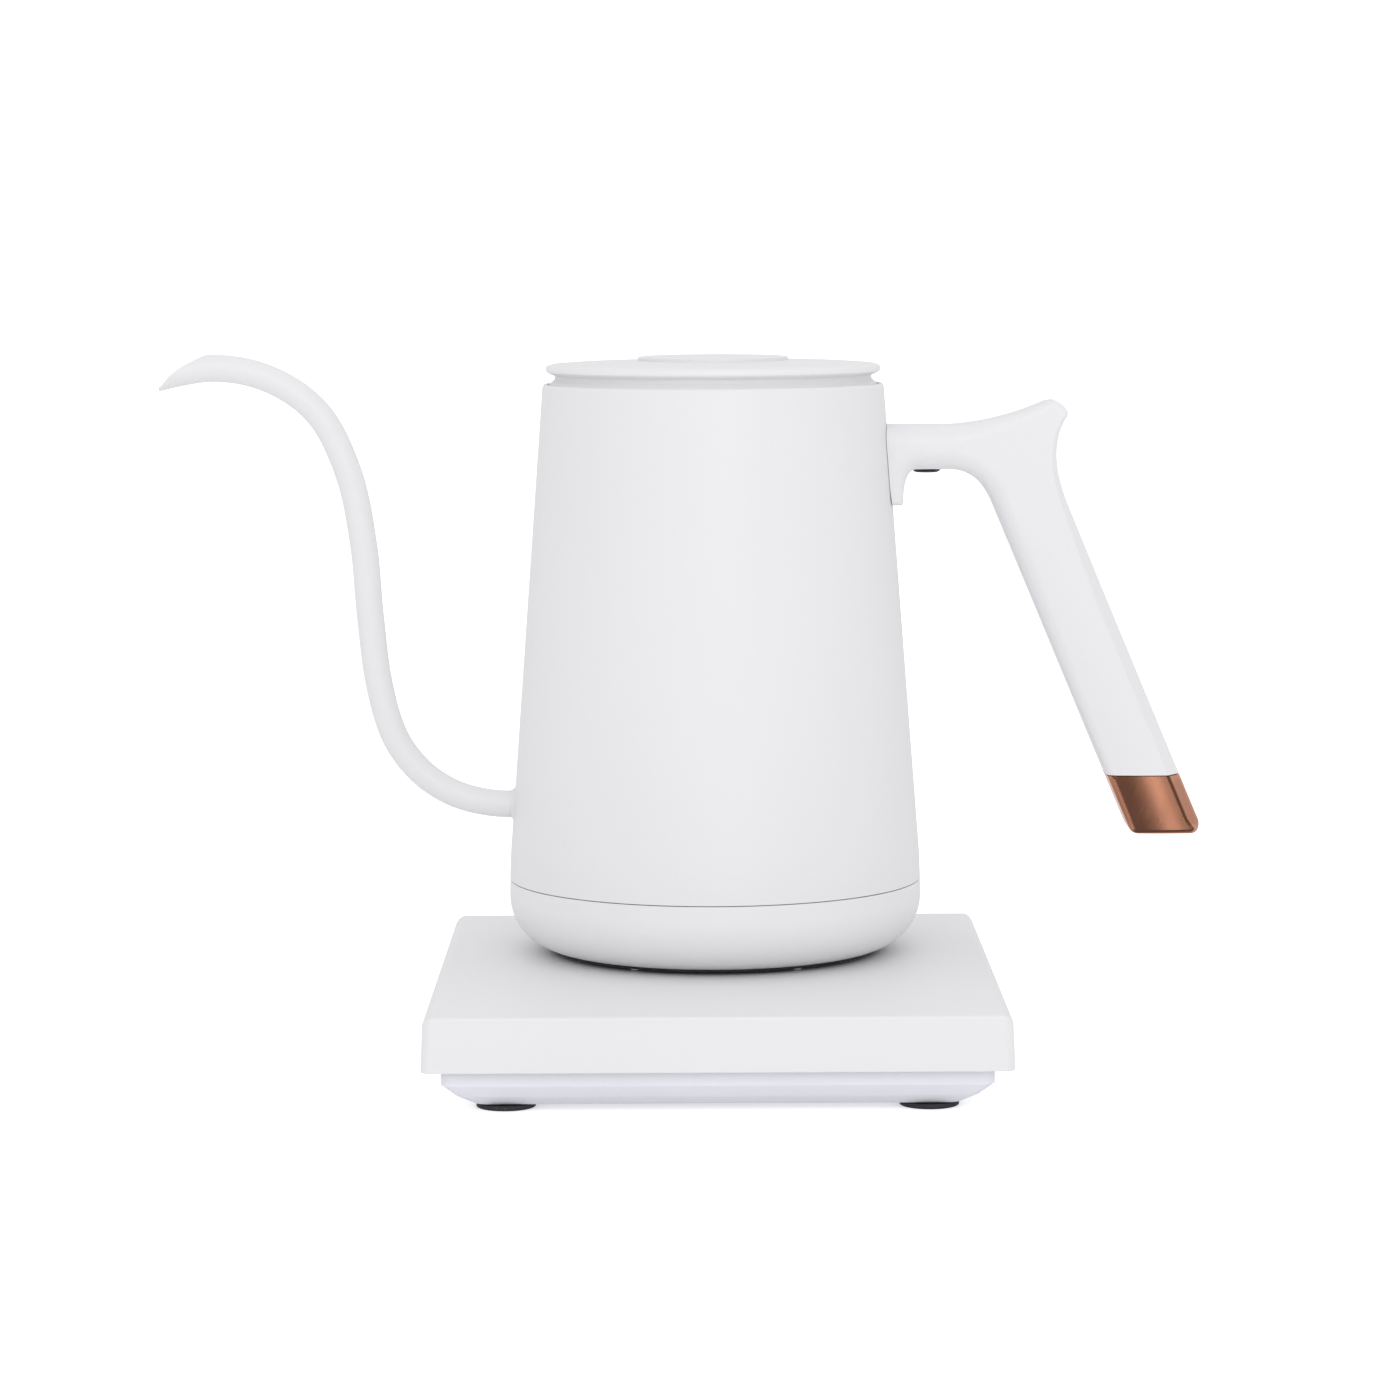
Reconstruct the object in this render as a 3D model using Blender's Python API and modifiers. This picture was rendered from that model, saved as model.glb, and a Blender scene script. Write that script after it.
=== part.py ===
"""Electric gooseneck kettle on its power base, as separate pieces.

Units are metres and +Z is up. The world origin is the centre of the object's
footprint, at the bottoms of the base's feet. All design heights are given from
the base's top face, on the kettle's own axis, because everything that turns or
seats is laid out from there; one empty carries that frame to its place.
"""

import math

import bmesh
import bpy
from mathutils import Matrix, Vector

# ---------------------------------------------------------------- dimensions
MM = 0.001
GAP = 0.3 * MM                      # left between pieces that touch
LARGE_STEPS = 48                    # sides of the wide turned pieces
SMALL_STEPS = 32
SCREW_STEPS = 10

# power base
BASE_HALF_WIDTH = 72.9 * MM
BASE_FRONT = 106.0 * MM             # from the kettle's axis to the front face
BASE_BACK = 59.6 * MM
BASE_CORNER = 3.0 * MM
SHELL_HEIGHT = 13.8 * MM
SHELL_DRAFT = 0.3 * MM
SHELL_WALL = 2.2 * MM
SHELL_EDGE = 0.8 * MM
TRAY_INSET = 4.2 * MM
TRAY_TOP = -9.0 * MM
TRAY_SIDE_END = -17.8 * MM          # where the slanting underside begins
TRAY_BOTTOM = -23.9 * MM
TRAY_SLANT = 8.0 * MM
TRAY_WALL = 2.0 * MM
FOOT_RADIUS = 7.5 * MM
FOOT_BOTTOM = -25.4 * MM
FOOT_X = 53.0 * MM
FOOT_INSET = 18.0 * MM              # from the base's front and back faces
SCREW_X = 44.0 * MM
SCREW_INSET = 34.0 * MM
GLAND_Z = -8.2 * MM

# kettle body: a straight cone that turns upright just above its seam
SEAM_Z = 19.6 * MM
SEAM_RADIUS = 55.2 * MM
CONE_FOOT_Z = 31.0 * MM
CONE_FOOT_RADIUS = 54.55 * MM
SHOULDER_Z = 151.4 * MM
SHOULDER_RADIUS = 45.45 * MM
RIM_Z = 152.2 * MM
BODY_WALL = 0.9 * MM
LEDGE_Z = 150.9 * MM
MOUTH_RADIUS = 41.0 * MM
MOUTH_BOTTOM = 143.5 * MM
PLATE_Z = 22.3 * MM

# collar under the seam
COLLAR_ROUND = 14.0 * MM
COLLAR_ROUND_Z = 15.5 * MM
COLLAR_WALL = 2.0 * MM
COLLAR_END_ANGLE = 72.5
NUB_COUNT = 6
NUB_RING = 44.0 * MM
NUB_RADIUS = 1.5 * MM
BOTTOM_SCREW_RING = 30.0 * MM

# coupling
SOCKET_RADIUS = 19.0 * MM
SOCKET_TOP = 9.5 * MM
SLOT_INNER = 8.0 * MM
SLOT_OUTER = 12.5 * MM

# lid
LID_RADIUS = 44.4 * MM
LID_TOP = 156.9 * MM
LID_NECK = 42.0 * MM
LID_SEAT = 151.2 * MM
BOSS_RADIUS = 20.0 * MM
BOSS_TOP = 159.0 * MM

# spout: centreline of one bent tube, in the kettle's middle plane
SPOUT_RADIUS = 3.65 * MM
SPOUT_BORE = 2.7 * MM
SPOUT_ROUTE = [                     # x, z in millimetres from the body to the tip
    (-50.0, 39.4), (-60.5, 39.9), (-70.5, 42.7), (-79.4, 48.9), (-86.1, 58.6),
    (-90.0, 73.0), (-92.0, 90.4), (-93.6, 109.6), (-97.2, 128.1), (-104.9, 144.1),
    (-117.6, 153.5), (-133.3, 156.9), (-152.4, 154.1),
]
TIP_X = -148.0 * MM
TIP_Z = 151.2 * MM
TIP_SLOPE = 52.0                    # degrees from level of the cut end

# handle, in the kettle's middle plane
HANDLE_WIDTH = 18.0 * MM
HANDLE_EDGE = 1.0 * MM
GRIP_TOP_Z = 119.3 * MM
GRIP_FRONT_X = 74.7 * MM
GRIP_BACK_X = 94.4 * MM
GRIP_LEAN = 22.7                    # degrees from upright
CAP_JOINT_Z = 46.4 * MM
CAP_BOTTOM_Z = 30.8 * MM
ARM_TOP_Z = 141.0 * MM
ARM_BOTTOM_Z = 128.8 * MM
PRONG_BOTTOM_Z = 119.8 * MM
HORN_X = 92.4 * MM
HORN_Z = 147.2 * MM
HANDLE_REACH = 130.2 * MM           # outermost point of the grip's lower end

# where the kettle's axis and the base's top face stand in the world
KETTLE_X = (-TIP_X - HANDLE_REACH) / 2
KETTLE_Y = (BASE_FRONT - BASE_BACK) / 2
BASE_TOP = -FOOT_BOTTOM

# ------------------------------------------------------------ scene helpers
for old in list(bpy.data.objects):
    bpy.data.objects.remove(old, do_unlink=True)

parts = bpy.data.collections.new("gooseneck_kettle")
cutters = bpy.data.collections.new("cutters")
bpy.context.scene.collection.children.link(parts)
bpy.context.scene.collection.children.link(cutters)

frame = bpy.data.objects.new("kettle_axis", None)
frame.location = (KETTLE_X, KETTLE_Y, BASE_TOP)
parts.objects.link(frame)


def material(name, colour, roughness, metallic=0.0):
    """A plain Principled finish; each piece gets one of its own."""
    made = bpy.data.materials.new(name)
    made.use_nodes = True
    shader = made.node_tree.nodes["Principled BSDF"]
    shader.inputs["Base Color"].default_value = (*colour, 1.0)
    shader.inputs["Roughness"].default_value = roughness
    shader.inputs["Metallic"].default_value = metallic
    return made


FINISHES = {
    "white_paint": ((0.80, 0.80, 0.81), 0.42, 0.0),
    "white_plastic": ((0.79, 0.79, 0.81), 0.48, 0.0),
    "inner_plastic": ((0.62, 0.62, 0.64), 0.55, 0.0),
    "black_plastic": ((0.02, 0.02, 0.022), 0.5, 0.0),
    "rubber": ((0.05, 0.05, 0.055), 0.8, 0.0),
    "silicone": ((0.75, 0.75, 0.76), 0.6, 0.0),
    "copper": ((0.48, 0.25, 0.16), 0.32, 1.0),
    "steel": ((0.60, 0.60, 0.61), 0.3, 1.0),
    "brass": ((0.70, 0.52, 0.22), 0.3, 1.0),
    "board": ((0.03, 0.18, 0.09), 0.5, 0.0),
    "dark_glass": ((0.03, 0.03, 0.035), 0.1, 0.0),
}


def finish(piece, kind):
    colour, roughness, metallic = FINISHES[kind]
    piece.data.materials.clear()
    piece.data.materials.append(material(piece.name, colour, roughness, metallic))


def place(name, data, kind=None, location=(0, 0, 0)):
    """Link an object below the kettle's frame; one without a finish is a cutter."""
    piece = bpy.data.objects.new(name, data)
    piece.parent = frame
    piece.location = location
    if kind is None:
        cutters.objects.link(piece)
        piece.hide_render = True
        piece.display_type = "WIRE"
    else:
        parts.objects.link(piece)
        finish(piece, kind)
    return piece


def from_bmesh(name, bm, kind=None, location=(0, 0, 0), smooth=False):
    mesh = bpy.data.meshes.new(name)
    bm.to_mesh(mesh)
    bm.free()
    if smooth:
        mesh.shade_smooth()
        mesh.set_sharp_from_angle(angle=math.radians(35))
    return place(name, mesh, kind, location)


def turned(name, profile, kind, location=(0, 0, 0), steps=SMALL_STEPS, closed=True):
    """Turn an (r, z) profile about Z. It runs down the outer side, top to bottom."""
    bm = bmesh.new()
    points = [bm.verts.new((r, 0, z)) for r, z in profile]
    for here, there in zip(points, points[1:]):
        bm.edges.new((here, there))
    if closed:
        bm.edges.new((points[-1], points[0]))
    piece = from_bmesh(name, bm, kind, location)
    screw = piece.modifiers.new("turn", "SCREW")
    screw.axis = "Z"
    screw.angle = math.tau
    screw.steps = steps
    screw.render_steps = steps
    screw.use_merge_vertices = True
    screw.merge_threshold = 0.00001
    screw.use_smooth_shade = True
    return piece


def box(name, low, high, kind=None, edge=0.0, turn=None):
    """A box between two corners, with its edges eased if wanted."""
    low, high = Vector(low), Vector(high)
    bm = bmesh.new()
    bmesh.ops.create_cube(bm, size=1.0)
    bmesh.ops.scale(bm, vec=high - low, verts=bm.verts)
    bmesh.ops.translate(bm, vec=(low + high) / 2, verts=bm.verts)
    if turn:
        bmesh.ops.transform(bm, matrix=turn, verts=bm.verts)
    piece = from_bmesh(name, bm, kind)
    if edge:
        bevel = piece.modifiers.new("eased edges", "BEVEL")
        bevel.width = edge
        bevel.segments = 1
    return piece


def cylinder(name, radius, low, high, kind=None, location=(0, 0, 0), sides=16, along="Z"):
    """A round bar from low to high along Z or Y, about a place in the kettle's frame."""
    bm = bmesh.new()
    bmesh.ops.create_cone(bm, cap_ends=True, segments=sides, radius1=radius,
                          radius2=radius, depth=high - low)
    bmesh.ops.translate(bm, vec=(0, 0, (low + high) / 2), verts=bm.verts)
    if along == "Y":
        bmesh.ops.rotate(bm, cent=(0, 0, 0), verts=bm.verts,
                         matrix=Matrix.Rotation(math.radians(-90), 3, "X"))
    return from_bmesh(name, bm, kind, location, smooth=True)


def boolean(piece, tool, operation="DIFFERENCE"):
    cut = piece.modifiers.new(tool.name, "BOOLEAN")
    cut.operation = operation
    cut.solver = "EXACT"
    cut.object = tool


def arc(centre_r, centre_z, radius, start, end, count):
    """Points of an arc; 0 degrees is outward and positive angles go down."""
    points = []
    for i in range(count + 1):
        angle = math.radians(start + (end - start) * i / count)
        points.append((centre_r + radius * math.cos(angle), centre_z - radius * math.sin(angle)))
    return points


def solid_tube(name, points, radius, kind=None, resolution=2):
    """A tube along points in the kettle's frame, as a welded mesh with closed ends."""
    curve = bpy.data.curves.new(name + "_path", "CURVE")
    curve.dimensions = "3D"
    curve.bevel_depth = radius
    curve.bevel_resolution = resolution
    curve.use_fill_caps = True
    spline = curve.splines.new("POLY")
    spline.points.add(len(points) - 1)
    for knot, point in zip(spline.points, points):
        knot.co = (*point, 1.0)
    guide = bpy.data.objects.new(name + "_path", curve)
    cutters.objects.link(guide)
    evaluated = guide.evaluated_get(bpy.context.evaluated_depsgraph_get())
    mesh = bpy.data.meshes.new_from_object(evaluated)
    bpy.data.objects.remove(guide, do_unlink=True)
    bm = bmesh.new()
    bm.from_mesh(mesh)
    bpy.data.meshes.remove(mesh)
    bmesh.ops.remove_doubles(bm, verts=bm.verts, dist=0.00001)
    bmesh.ops.recalc_face_normals(bm, faces=bm.faces)
    return from_bmesh(name, bm, kind, smooth=True)


def smooth_route(knots, per_span):
    """Catmull-Rom points through the knots."""
    ends = [2 * knots[0] - knots[1], *knots, 2 * knots[-1] - knots[-2]]
    points = []
    for a, b, c, d in zip(ends, ends[1:], ends[2:], ends[3:]):
        for i in range(per_span):
            t = i / per_span
            points.append(0.5 * (2 * b + (c - a) * t + (2 * a - 5 * b + 4 * c - d) * t * t
                                 + (3 * b - a - 3 * c + d) * t * t * t))
    points.append(knots[-1])
    return points


def body_radius(z):
    """Outer radius of the straight cone at a height."""
    share = (z - CONE_FOOT_Z) / (SHOULDER_Z - CONE_FOOT_Z)
    return CONE_FOOT_RADIUS + share * (SHOULDER_RADIUS - CONE_FOOT_RADIUS)


# ---------------------------------------------------------------- power base
def rounded_block(name, half_width, front, back, top, bottom, corner, kind, draft=0.0):
    """A block with round upright corners, wider at its bottom by the draft."""
    bm = bmesh.new()
    bmesh.ops.create_cube(bm, size=1.0)
    depth = front + back
    bmesh.ops.scale(bm, vec=(2 * half_width, depth, top - bottom), verts=bm.verts)
    bmesh.ops.translate(bm, vec=(0, (back - front) / 2, (top + bottom) / 2), verts=bm.verts)
    middle_y = (back - front) / 2
    for vert in bm.verts:
        if vert.co.z < (top + bottom) / 2:
            vert.co.x += math.copysign(draft, vert.co.x)
            vert.co.y += math.copysign(draft, vert.co.y - middle_y)
    upright = [e for e in bm.edges if abs(e.verts[0].co.z - e.verts[1].co.z) > 0.9 * (top - bottom)]
    bmesh.ops.bevel(bm, geom=upright, offset=corner, segments=4, profile=0.5, affect="EDGES")
    return from_bmesh(name, bm, kind)


def base_top_shell():
    shell = rounded_block("base_top_shell", BASE_HALF_WIDTH, BASE_FRONT, BASE_BACK, 0,
                          -SHELL_HEIGHT, BASE_CORNER, "white_plastic", SHELL_DRAFT)
    bm = bmesh.new()
    bm.from_mesh(shell.data)
    top_edges = [e for e in bm.edges if all(abs(v.co.z) < GAP for v in e.verts)]
    bmesh.ops.bevel(bm, geom=top_edges, offset=SHELL_EDGE, segments=2, profile=0.5,
                    affect="EDGES")
    under = [f for f in bm.faces if f.normal.z < -0.9 and len(f.verts) > 8]
    bmesh.ops.delete(bm, geom=under, context="FACES_ONLY")
    bm.to_mesh(shell.data)
    bm.free()
    wall = shell.modifiers.new("wall", "SOLIDIFY")
    wall.thickness = SHELL_WALL
    wall.offset = -1
    wall.use_even_offset = True
    boolean(shell, cylinder("socket_hole", SOCKET_RADIUS + 0.4 * MM, -4 * MM, 2 * MM,
                            sides=SMALL_STEPS))
    for i, (x, y) in enumerate(screw_places()):
        post = cylinder(f"screw_post_{i + 1}", 3.5 * MM, -20.2 * MM, -1.8 * MM, location=(x, y, 0))
        boolean(shell, post, "UNION")
        hole = cylinder(f"post_hole_{i + 1}", 1.4 * MM, -21 * MM, -9 * MM, location=(x, y, 0),
                        sides=12)
        boolean(shell, hole)
    boolean(shell, cylinder("gland_hole", 4.3 * MM, BASE_BACK - 6 * MM, BASE_BACK + 2 * MM,
                            location=(0, 0, GLAND_Z), along="Y"))


def screw_places():
    ys = (-BASE_FRONT + SCREW_INSET, BASE_BACK - SCREW_INSET)
    return [(x, y) for y in ys for x in (-SCREW_X, SCREW_X)]


def foot_places():
    ys = (-BASE_FRONT + FOOT_INSET, BASE_BACK - FOOT_INSET)
    return [(x, y) for y in ys for x in (-FOOT_X, FOOT_X)]


def base_bottom_tray():
    half, front, back = (side - TRAY_INSET for side in (BASE_HALF_WIDTH, BASE_FRONT, BASE_BACK))
    tray = rounded_block("base_bottom_tray", half, front, back, TRAY_TOP, TRAY_BOTTOM,
                         BASE_CORNER, "white_plastic")
    bm = bmesh.new()
    bm.from_mesh(tray.data)
    middle_y = (back - front) / 2
    bmesh.ops.bisect_plane(bm, geom=[*bm.verts, *bm.edges, *bm.faces],
                           plane_co=(0, 0, TRAY_SIDE_END), plane_no=(0, 0, 1))
    for vert in bm.verts:
        if vert.co.z < TRAY_BOTTOM + GAP:
            vert.co.x -= math.copysign(TRAY_SLANT, vert.co.x)
            vert.co.y -= math.copysign(TRAY_SLANT, vert.co.y - middle_y)
    lid = [f for f in bm.faces if f.normal.z > 0.9]
    bmesh.ops.delete(bm, geom=lid, context="FACES_ONLY")
    bm.to_mesh(tray.data)
    bm.free()
    wall = tray.modifiers.new("wall", "SOLIDIFY")
    wall.thickness = TRAY_WALL
    wall.offset = -1
    wall.use_even_offset = True
    floor = TRAY_BOTTOM + TRAY_WALL
    for i, (x, y) in enumerate(screw_places()):
        here = (x, y, 0)
        post = cylinder(f"tray_post_{i + 1}", 5 * MM, floor - 0.5 * MM, -20.5 * MM, location=here)
        sink = cylinder(f"head_sink_{i + 1}", 3.1 * MM, TRAY_BOTTOM - 1 * MM, -22.2 * MM,
                        location=here, sides=20)
        hole = cylinder(f"tray_hole_{i + 1}", 1.7 * MM, TRAY_BOTTOM - 1 * MM, -20 * MM,
                        location=here, sides=12)
        boolean(tray, post, "UNION")
        boolean(tray, sink)
        boolean(tray, hole)
    for i, (x, y) in enumerate(foot_places()):
        boolean(tray, cylinder(f"foot_hole_{i + 1}", 2.8 * MM, TRAY_BOTTOM - 1 * MM, floor + 1 * MM,
                               location=(x, y, 0), sides=16))
    return tray


def base_feet():
    stem_top = TRAY_BOTTOM + TRAY_WALL - 0.2 * MM
    top = TRAY_BOTTOM - GAP
    profile = [
        (0, stem_top), (2.5 * MM, stem_top), (2.5 * MM, top), (7.2 * MM, top),
        (FOOT_RADIUS, top - 0.3 * MM), (FOOT_RADIUS, FOOT_BOTTOM + 0.3 * MM),
        (7.2 * MM, FOOT_BOTTOM), (0, FOOT_BOTTOM),
    ]
    for i, (x, y) in enumerate(foot_places()):
        turned(f"base_foot_{i + 1}", profile, "rubber", (x, y, 0), steps=16, closed=False)


def screw_profile(head_radius, head_bottom, head_top, shank_radius, shank_top):
    return [
        (0, shank_top), (shank_radius * 0.6, shank_top), (shank_radius, shank_top - 0.6 * MM),
        (shank_radius, head_top), (head_radius, head_top), (head_radius, head_bottom + 0.3 * MM),
        (head_radius - 0.4 * MM, head_bottom), (0, head_bottom),
    ]


def base_screws():
    profile = screw_profile(2.7 * MM, -23.7 * MM, -22.5 * MM, 1.1 * MM, -10 * MM)
    for i, (x, y) in enumerate(screw_places()):
        turned(f"base_screw_{i + 1}", profile, "steel", (x, y, 0), SCREW_STEPS, closed=False)


def cord_gland(tray):
    """A grommet in the back wall; the cord it would hold is not part of the object."""
    outside = BASE_BACK + 0.1 * MM
    flange = BASE_BACK - 2.7 * MM
    inside = BASE_BACK - 6.5 * MM
    profile = [(2.7 * MM, outside), (3.9 * MM, outside), (3.9 * MM, flange), (5.3 * MM, flange),
               (5.3 * MM, inside), (2.7 * MM, inside)]
    gland = turned("cord_gland", profile, "black_plastic", (0, 0, GLAND_Z), steps=16)
    gland.rotation_euler.x = math.radians(-90)
    boolean(tray, cylinder("gland_room", 6 * MM, BASE_BACK - 12 * MM, BASE_BACK,
                           location=(0, 0, GLAND_Z), along="Y"))


def base_electronics(tray):
    floor = TRAY_BOTTOM + TRAY_WALL
    board_z = floor + 4 * MM
    clear = 0.3 * MM
    box("control_board", (-30 * MM, -92 * MM, board_z), (30 * MM, -32 * MM, board_z + 1.6 * MM),
        "board")
    deck = board_z + 1.6 * MM + clear
    box("power_transformer", (-26 * MM, -88 * MM, deck), (-8 * MM, -70 * MM, deck + 9.5 * MM),
        "black_plastic", 0.5 * MM)
    box("relay", (4 * MM, -52 * MM, deck), (23 * MM, -37 * MM, deck + 10 * MM),
        "black_plastic", 0.5 * MM)
    cylinder("smoothing_capacitor", 4 * MM, deck, deck + 9.5 * MM, "black_plastic",
             (-16 * MM, -44 * MM, 0))
    cylinder("beeper", 4.5 * MM, deck, deck + 4 * MM, "black_plastic", (2 * MM, -62 * MM, 0))
    touch_top = -SHELL_WALL - clear
    box("touch_board", (-34 * MM, -98 * MM, touch_top - 1.2 * MM),
        (34 * MM, -66 * MM, touch_top), "board")
    display_top = touch_top - 1.2 * MM - clear
    box("display_module", (12 * MM, -94 * MM, display_top - 5 * MM), (30 * MM, -72 * MM, display_top),
        "dark_glass", 0.4 * MM)
    posts = [(x, y) for x in (-26 * MM, 26 * MM) for y in (-86 * MM, -38 * MM)]
    for i, (x, y) in enumerate(posts):
        post = cylinder(f"board_post_{i + 1}", 2 * MM, floor - 0.5 * MM, board_z - clear,
                        location=(x, y, 0), sides=12)
        boolean(tray, post, "UNION")
    clamp_z = floor + clear
    box("cord_clamp", (-9 * MM, 33 * MM, clamp_z), (9 * MM, 40 * MM, clamp_z + 5 * MM),
        "black_plastic", 0.6 * MM)


def socket():
    """Lower half of the round coupling: the kettle may be set down at any angle."""
    profile = [
        (2.6 * MM, SOCKET_TOP), (SLOT_INNER, SOCKET_TOP), (SLOT_INNER, -2.5 * MM),
        (SLOT_OUTER, -2.5 * MM), (SLOT_OUTER, SOCKET_TOP), (SOCKET_RADIUS - 0.8 * MM, SOCKET_TOP),
        (SOCKET_RADIUS, SOCKET_TOP - 0.8 * MM), (SOCKET_RADIUS, -2.6 * MM), (23 * MM, -2.6 * MM),
        (23 * MM, -5 * MM), (SOCKET_RADIUS, -5 * MM), (SOCKET_RADIUS, -9 * MM), (2.6 * MM, -9 * MM),
    ]
    housing = turned("socket_housing", profile, "black_plastic")
    boolean(housing, box("live_pocket", (SLOT_OUTER - 0.6 * MM, -2.6 * MM, -12 * MM),
                         (15.4 * MM, 2.6 * MM, 6 * MM)))
    boolean(housing, box("neutral_pocket", (-SLOT_INNER - 0.6 * MM, -2.2 * MM, -12 * MM),
                         (-5.2 * MM, 2.2 * MM, 6 * MM)))
    box("socket_contact_live", (13.2 * MM, -2 * MM, -13 * MM), (13.8 * MM, 2 * MM, 5.5 * MM), "brass")
    box("socket_contact_neutral", (-7.2 * MM, -1.6 * MM, -13 * MM), (-6.6 * MM, 1.6 * MM, 5.5 * MM),
        "brass")
    turned("socket_contact_earth",
           [(1.9 * MM, 8.5 * MM), (2.3 * MM, 8.5 * MM), (2.3 * MM, -13 * MM), (1.9 * MM, -13 * MM)],
           "brass", steps=16)
    turned("socket_shutter_ring",
           [(8.4 * MM, 0.9 * MM), (12.1 * MM, 0.9 * MM), (12.1 * MM, -1.9 * MM), (8.4 * MM, -1.9 * MM)],
           "black_plastic")


# -------------------------------------------------------------------- kettle
def body_shell():
    inner = BODY_WALL
    outside = [(44.6 * MM, RIM_Z), (45.2 * MM, RIM_Z - 0.2 * MM), (SHOULDER_RADIUS, SHOULDER_Z)]
    outside += [(body_radius(z * MM), z * MM) for z in (120, 90, 60, 31)]
    outside += [(55.05 * MM, 24 * MM), (55.15 * MM, SEAM_Z + GAP)]
    inside = [(r - inner, z) for r, z in reversed(outside[3:])]
    mouth = [(body_radius(149.9 * MM) - inner, 149.9 * MM), (MOUTH_RADIUS + inner, 149.9 * MM),
             (MOUTH_RADIUS + inner, MOUTH_BOTTOM), (MOUTH_RADIUS, MOUTH_BOTTOM),
             (MOUTH_RADIUS, LEDGE_Z - 0.5 * MM), (MOUTH_RADIUS + 0.5 * MM, LEDGE_Z),
             (44.1 * MM, LEDGE_Z), (44.25 * MM, RIM_Z - 0.3 * MM)]
    shell = turned("body_shell", outside + inside + mouth, "white_paint", steps=LARGE_STEPS)
    root_z = SPOUT_ROUTE[0][1] * MM
    hole = cylinder("spout_hole", SPOUT_RADIUS + GAP, -60 * MM, 0, sides=24)
    hole.rotation_euler = (0, math.radians(90), 0)
    hole.location = (0, 0, root_z)
    boolean(shell, hole)


def spout_tube():
    knots = [Vector((x * MM, 0, z * MM)) for x, z in SPOUT_ROUTE]
    path = smooth_route(knots, 2)
    tube = solid_tube("spout_tube", path, SPOUT_RADIUS, "white_paint", resolution=3)
    longer = [path[0] + Vector((3 * MM, 0, 0)), *path, path[-1] + (path[-1] - path[-2]) * 2]
    boolean(tube, solid_tube("spout_bore", longer, SPOUT_BORE, resolution=2))
    cut = Matrix.Translation((TIP_X, 0, TIP_Z)) @ Matrix.Rotation(math.radians(-TIP_SLOPE), 4, "Y")
    boolean(tube, box("tip_cut", (-6 * MM, -8 * MM, 0), (26 * MM, 8 * MM, 20 * MM), turn=cut))


def collar():
    wall = COLLAR_WALL
    arc_r = SEAM_RADIUS - COLLAR_ROUND
    spigot = 53.9 * MM
    spigot_top = SEAM_Z + 2 * MM
    outside = [(spigot, spigot_top), (spigot, SEAM_Z), (SEAM_RADIUS - 0.05 * MM, SEAM_Z)]
    outside += arc(arc_r, COLLAR_ROUND_Z, COLLAR_ROUND, 0, COLLAR_END_ANGLE, 7)
    flange_z = outside[-1][1]
    inside = [(40 * MM, flange_z), (40 * MM, flange_z + 1.5 * MM)]
    inside += arc(arc_r, COLLAR_ROUND_Z, COLLAR_ROUND - wall, 82, 0, 5)
    inside += [(SEAM_RADIUS - wall, spigot_top)]
    piece = turned("collar", outside + inside, "white_plastic", steps=LARGE_STEPS)
    for i in range(NUB_COUNT):
        angle = math.radians(30 + 360 * i / NUB_COUNT)
        nub = cylinder(f"nub_{i + 1}", NUB_RADIUS, GAP, flange_z + 1 * MM,
                       location=(NUB_RING * math.sin(angle), NUB_RING * math.cos(angle), 0),
                       sides=8)
        boolean(piece, nub, "UNION")


def bottom_plate():
    thin_top, thick_top, under = 1.8 * MM, 3.3 * MM, 0.5 * MM
    profile = [(22.9 * MM, thick_top), (39.5 * MM, thick_top), (39.5 * MM, thin_top),
               (45.1 * MM, thin_top), (45.3 * MM, thin_top - 0.2 * MM), (45.3 * MM, under + 0.2 * MM),
               (45.1 * MM, under), (22.9 * MM, under)]
    plate = turned("bottom_plate", profile, "black_plastic")
    for i in range(NUB_COUNT):
        angle = math.radians(30 + 360 * i / NUB_COUNT)
        boolean(plate, cylinder(f"nub_notch_{i + 1}", NUB_RADIUS + 0.5 * MM, -1 * MM, 3 * MM,
                                location=(NUB_RING * math.sin(angle), NUB_RING * math.cos(angle), 0),
                                sides=8))
    for i, (x, y) in enumerate(bottom_screw_places()):
        here = (x, y, 0)
        boolean(plate, cylinder(f"bottom_sink_{i + 1}", 2.9 * MM, -1 * MM, 2.1 * MM, location=here,
                                sides=16))
        boolean(plate, cylinder(f"bottom_hole_{i + 1}", 1.5 * MM, -1 * MM, 4 * MM, location=here,
                                sides=12))


def bottom_screw_places():
    places = []
    for i in range(3):
        angle = math.tau * i / 3
        places.append((BOTTOM_SCREW_RING * math.sin(angle), BOTTOM_SCREW_RING * math.cos(angle)))
    return places


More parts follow.
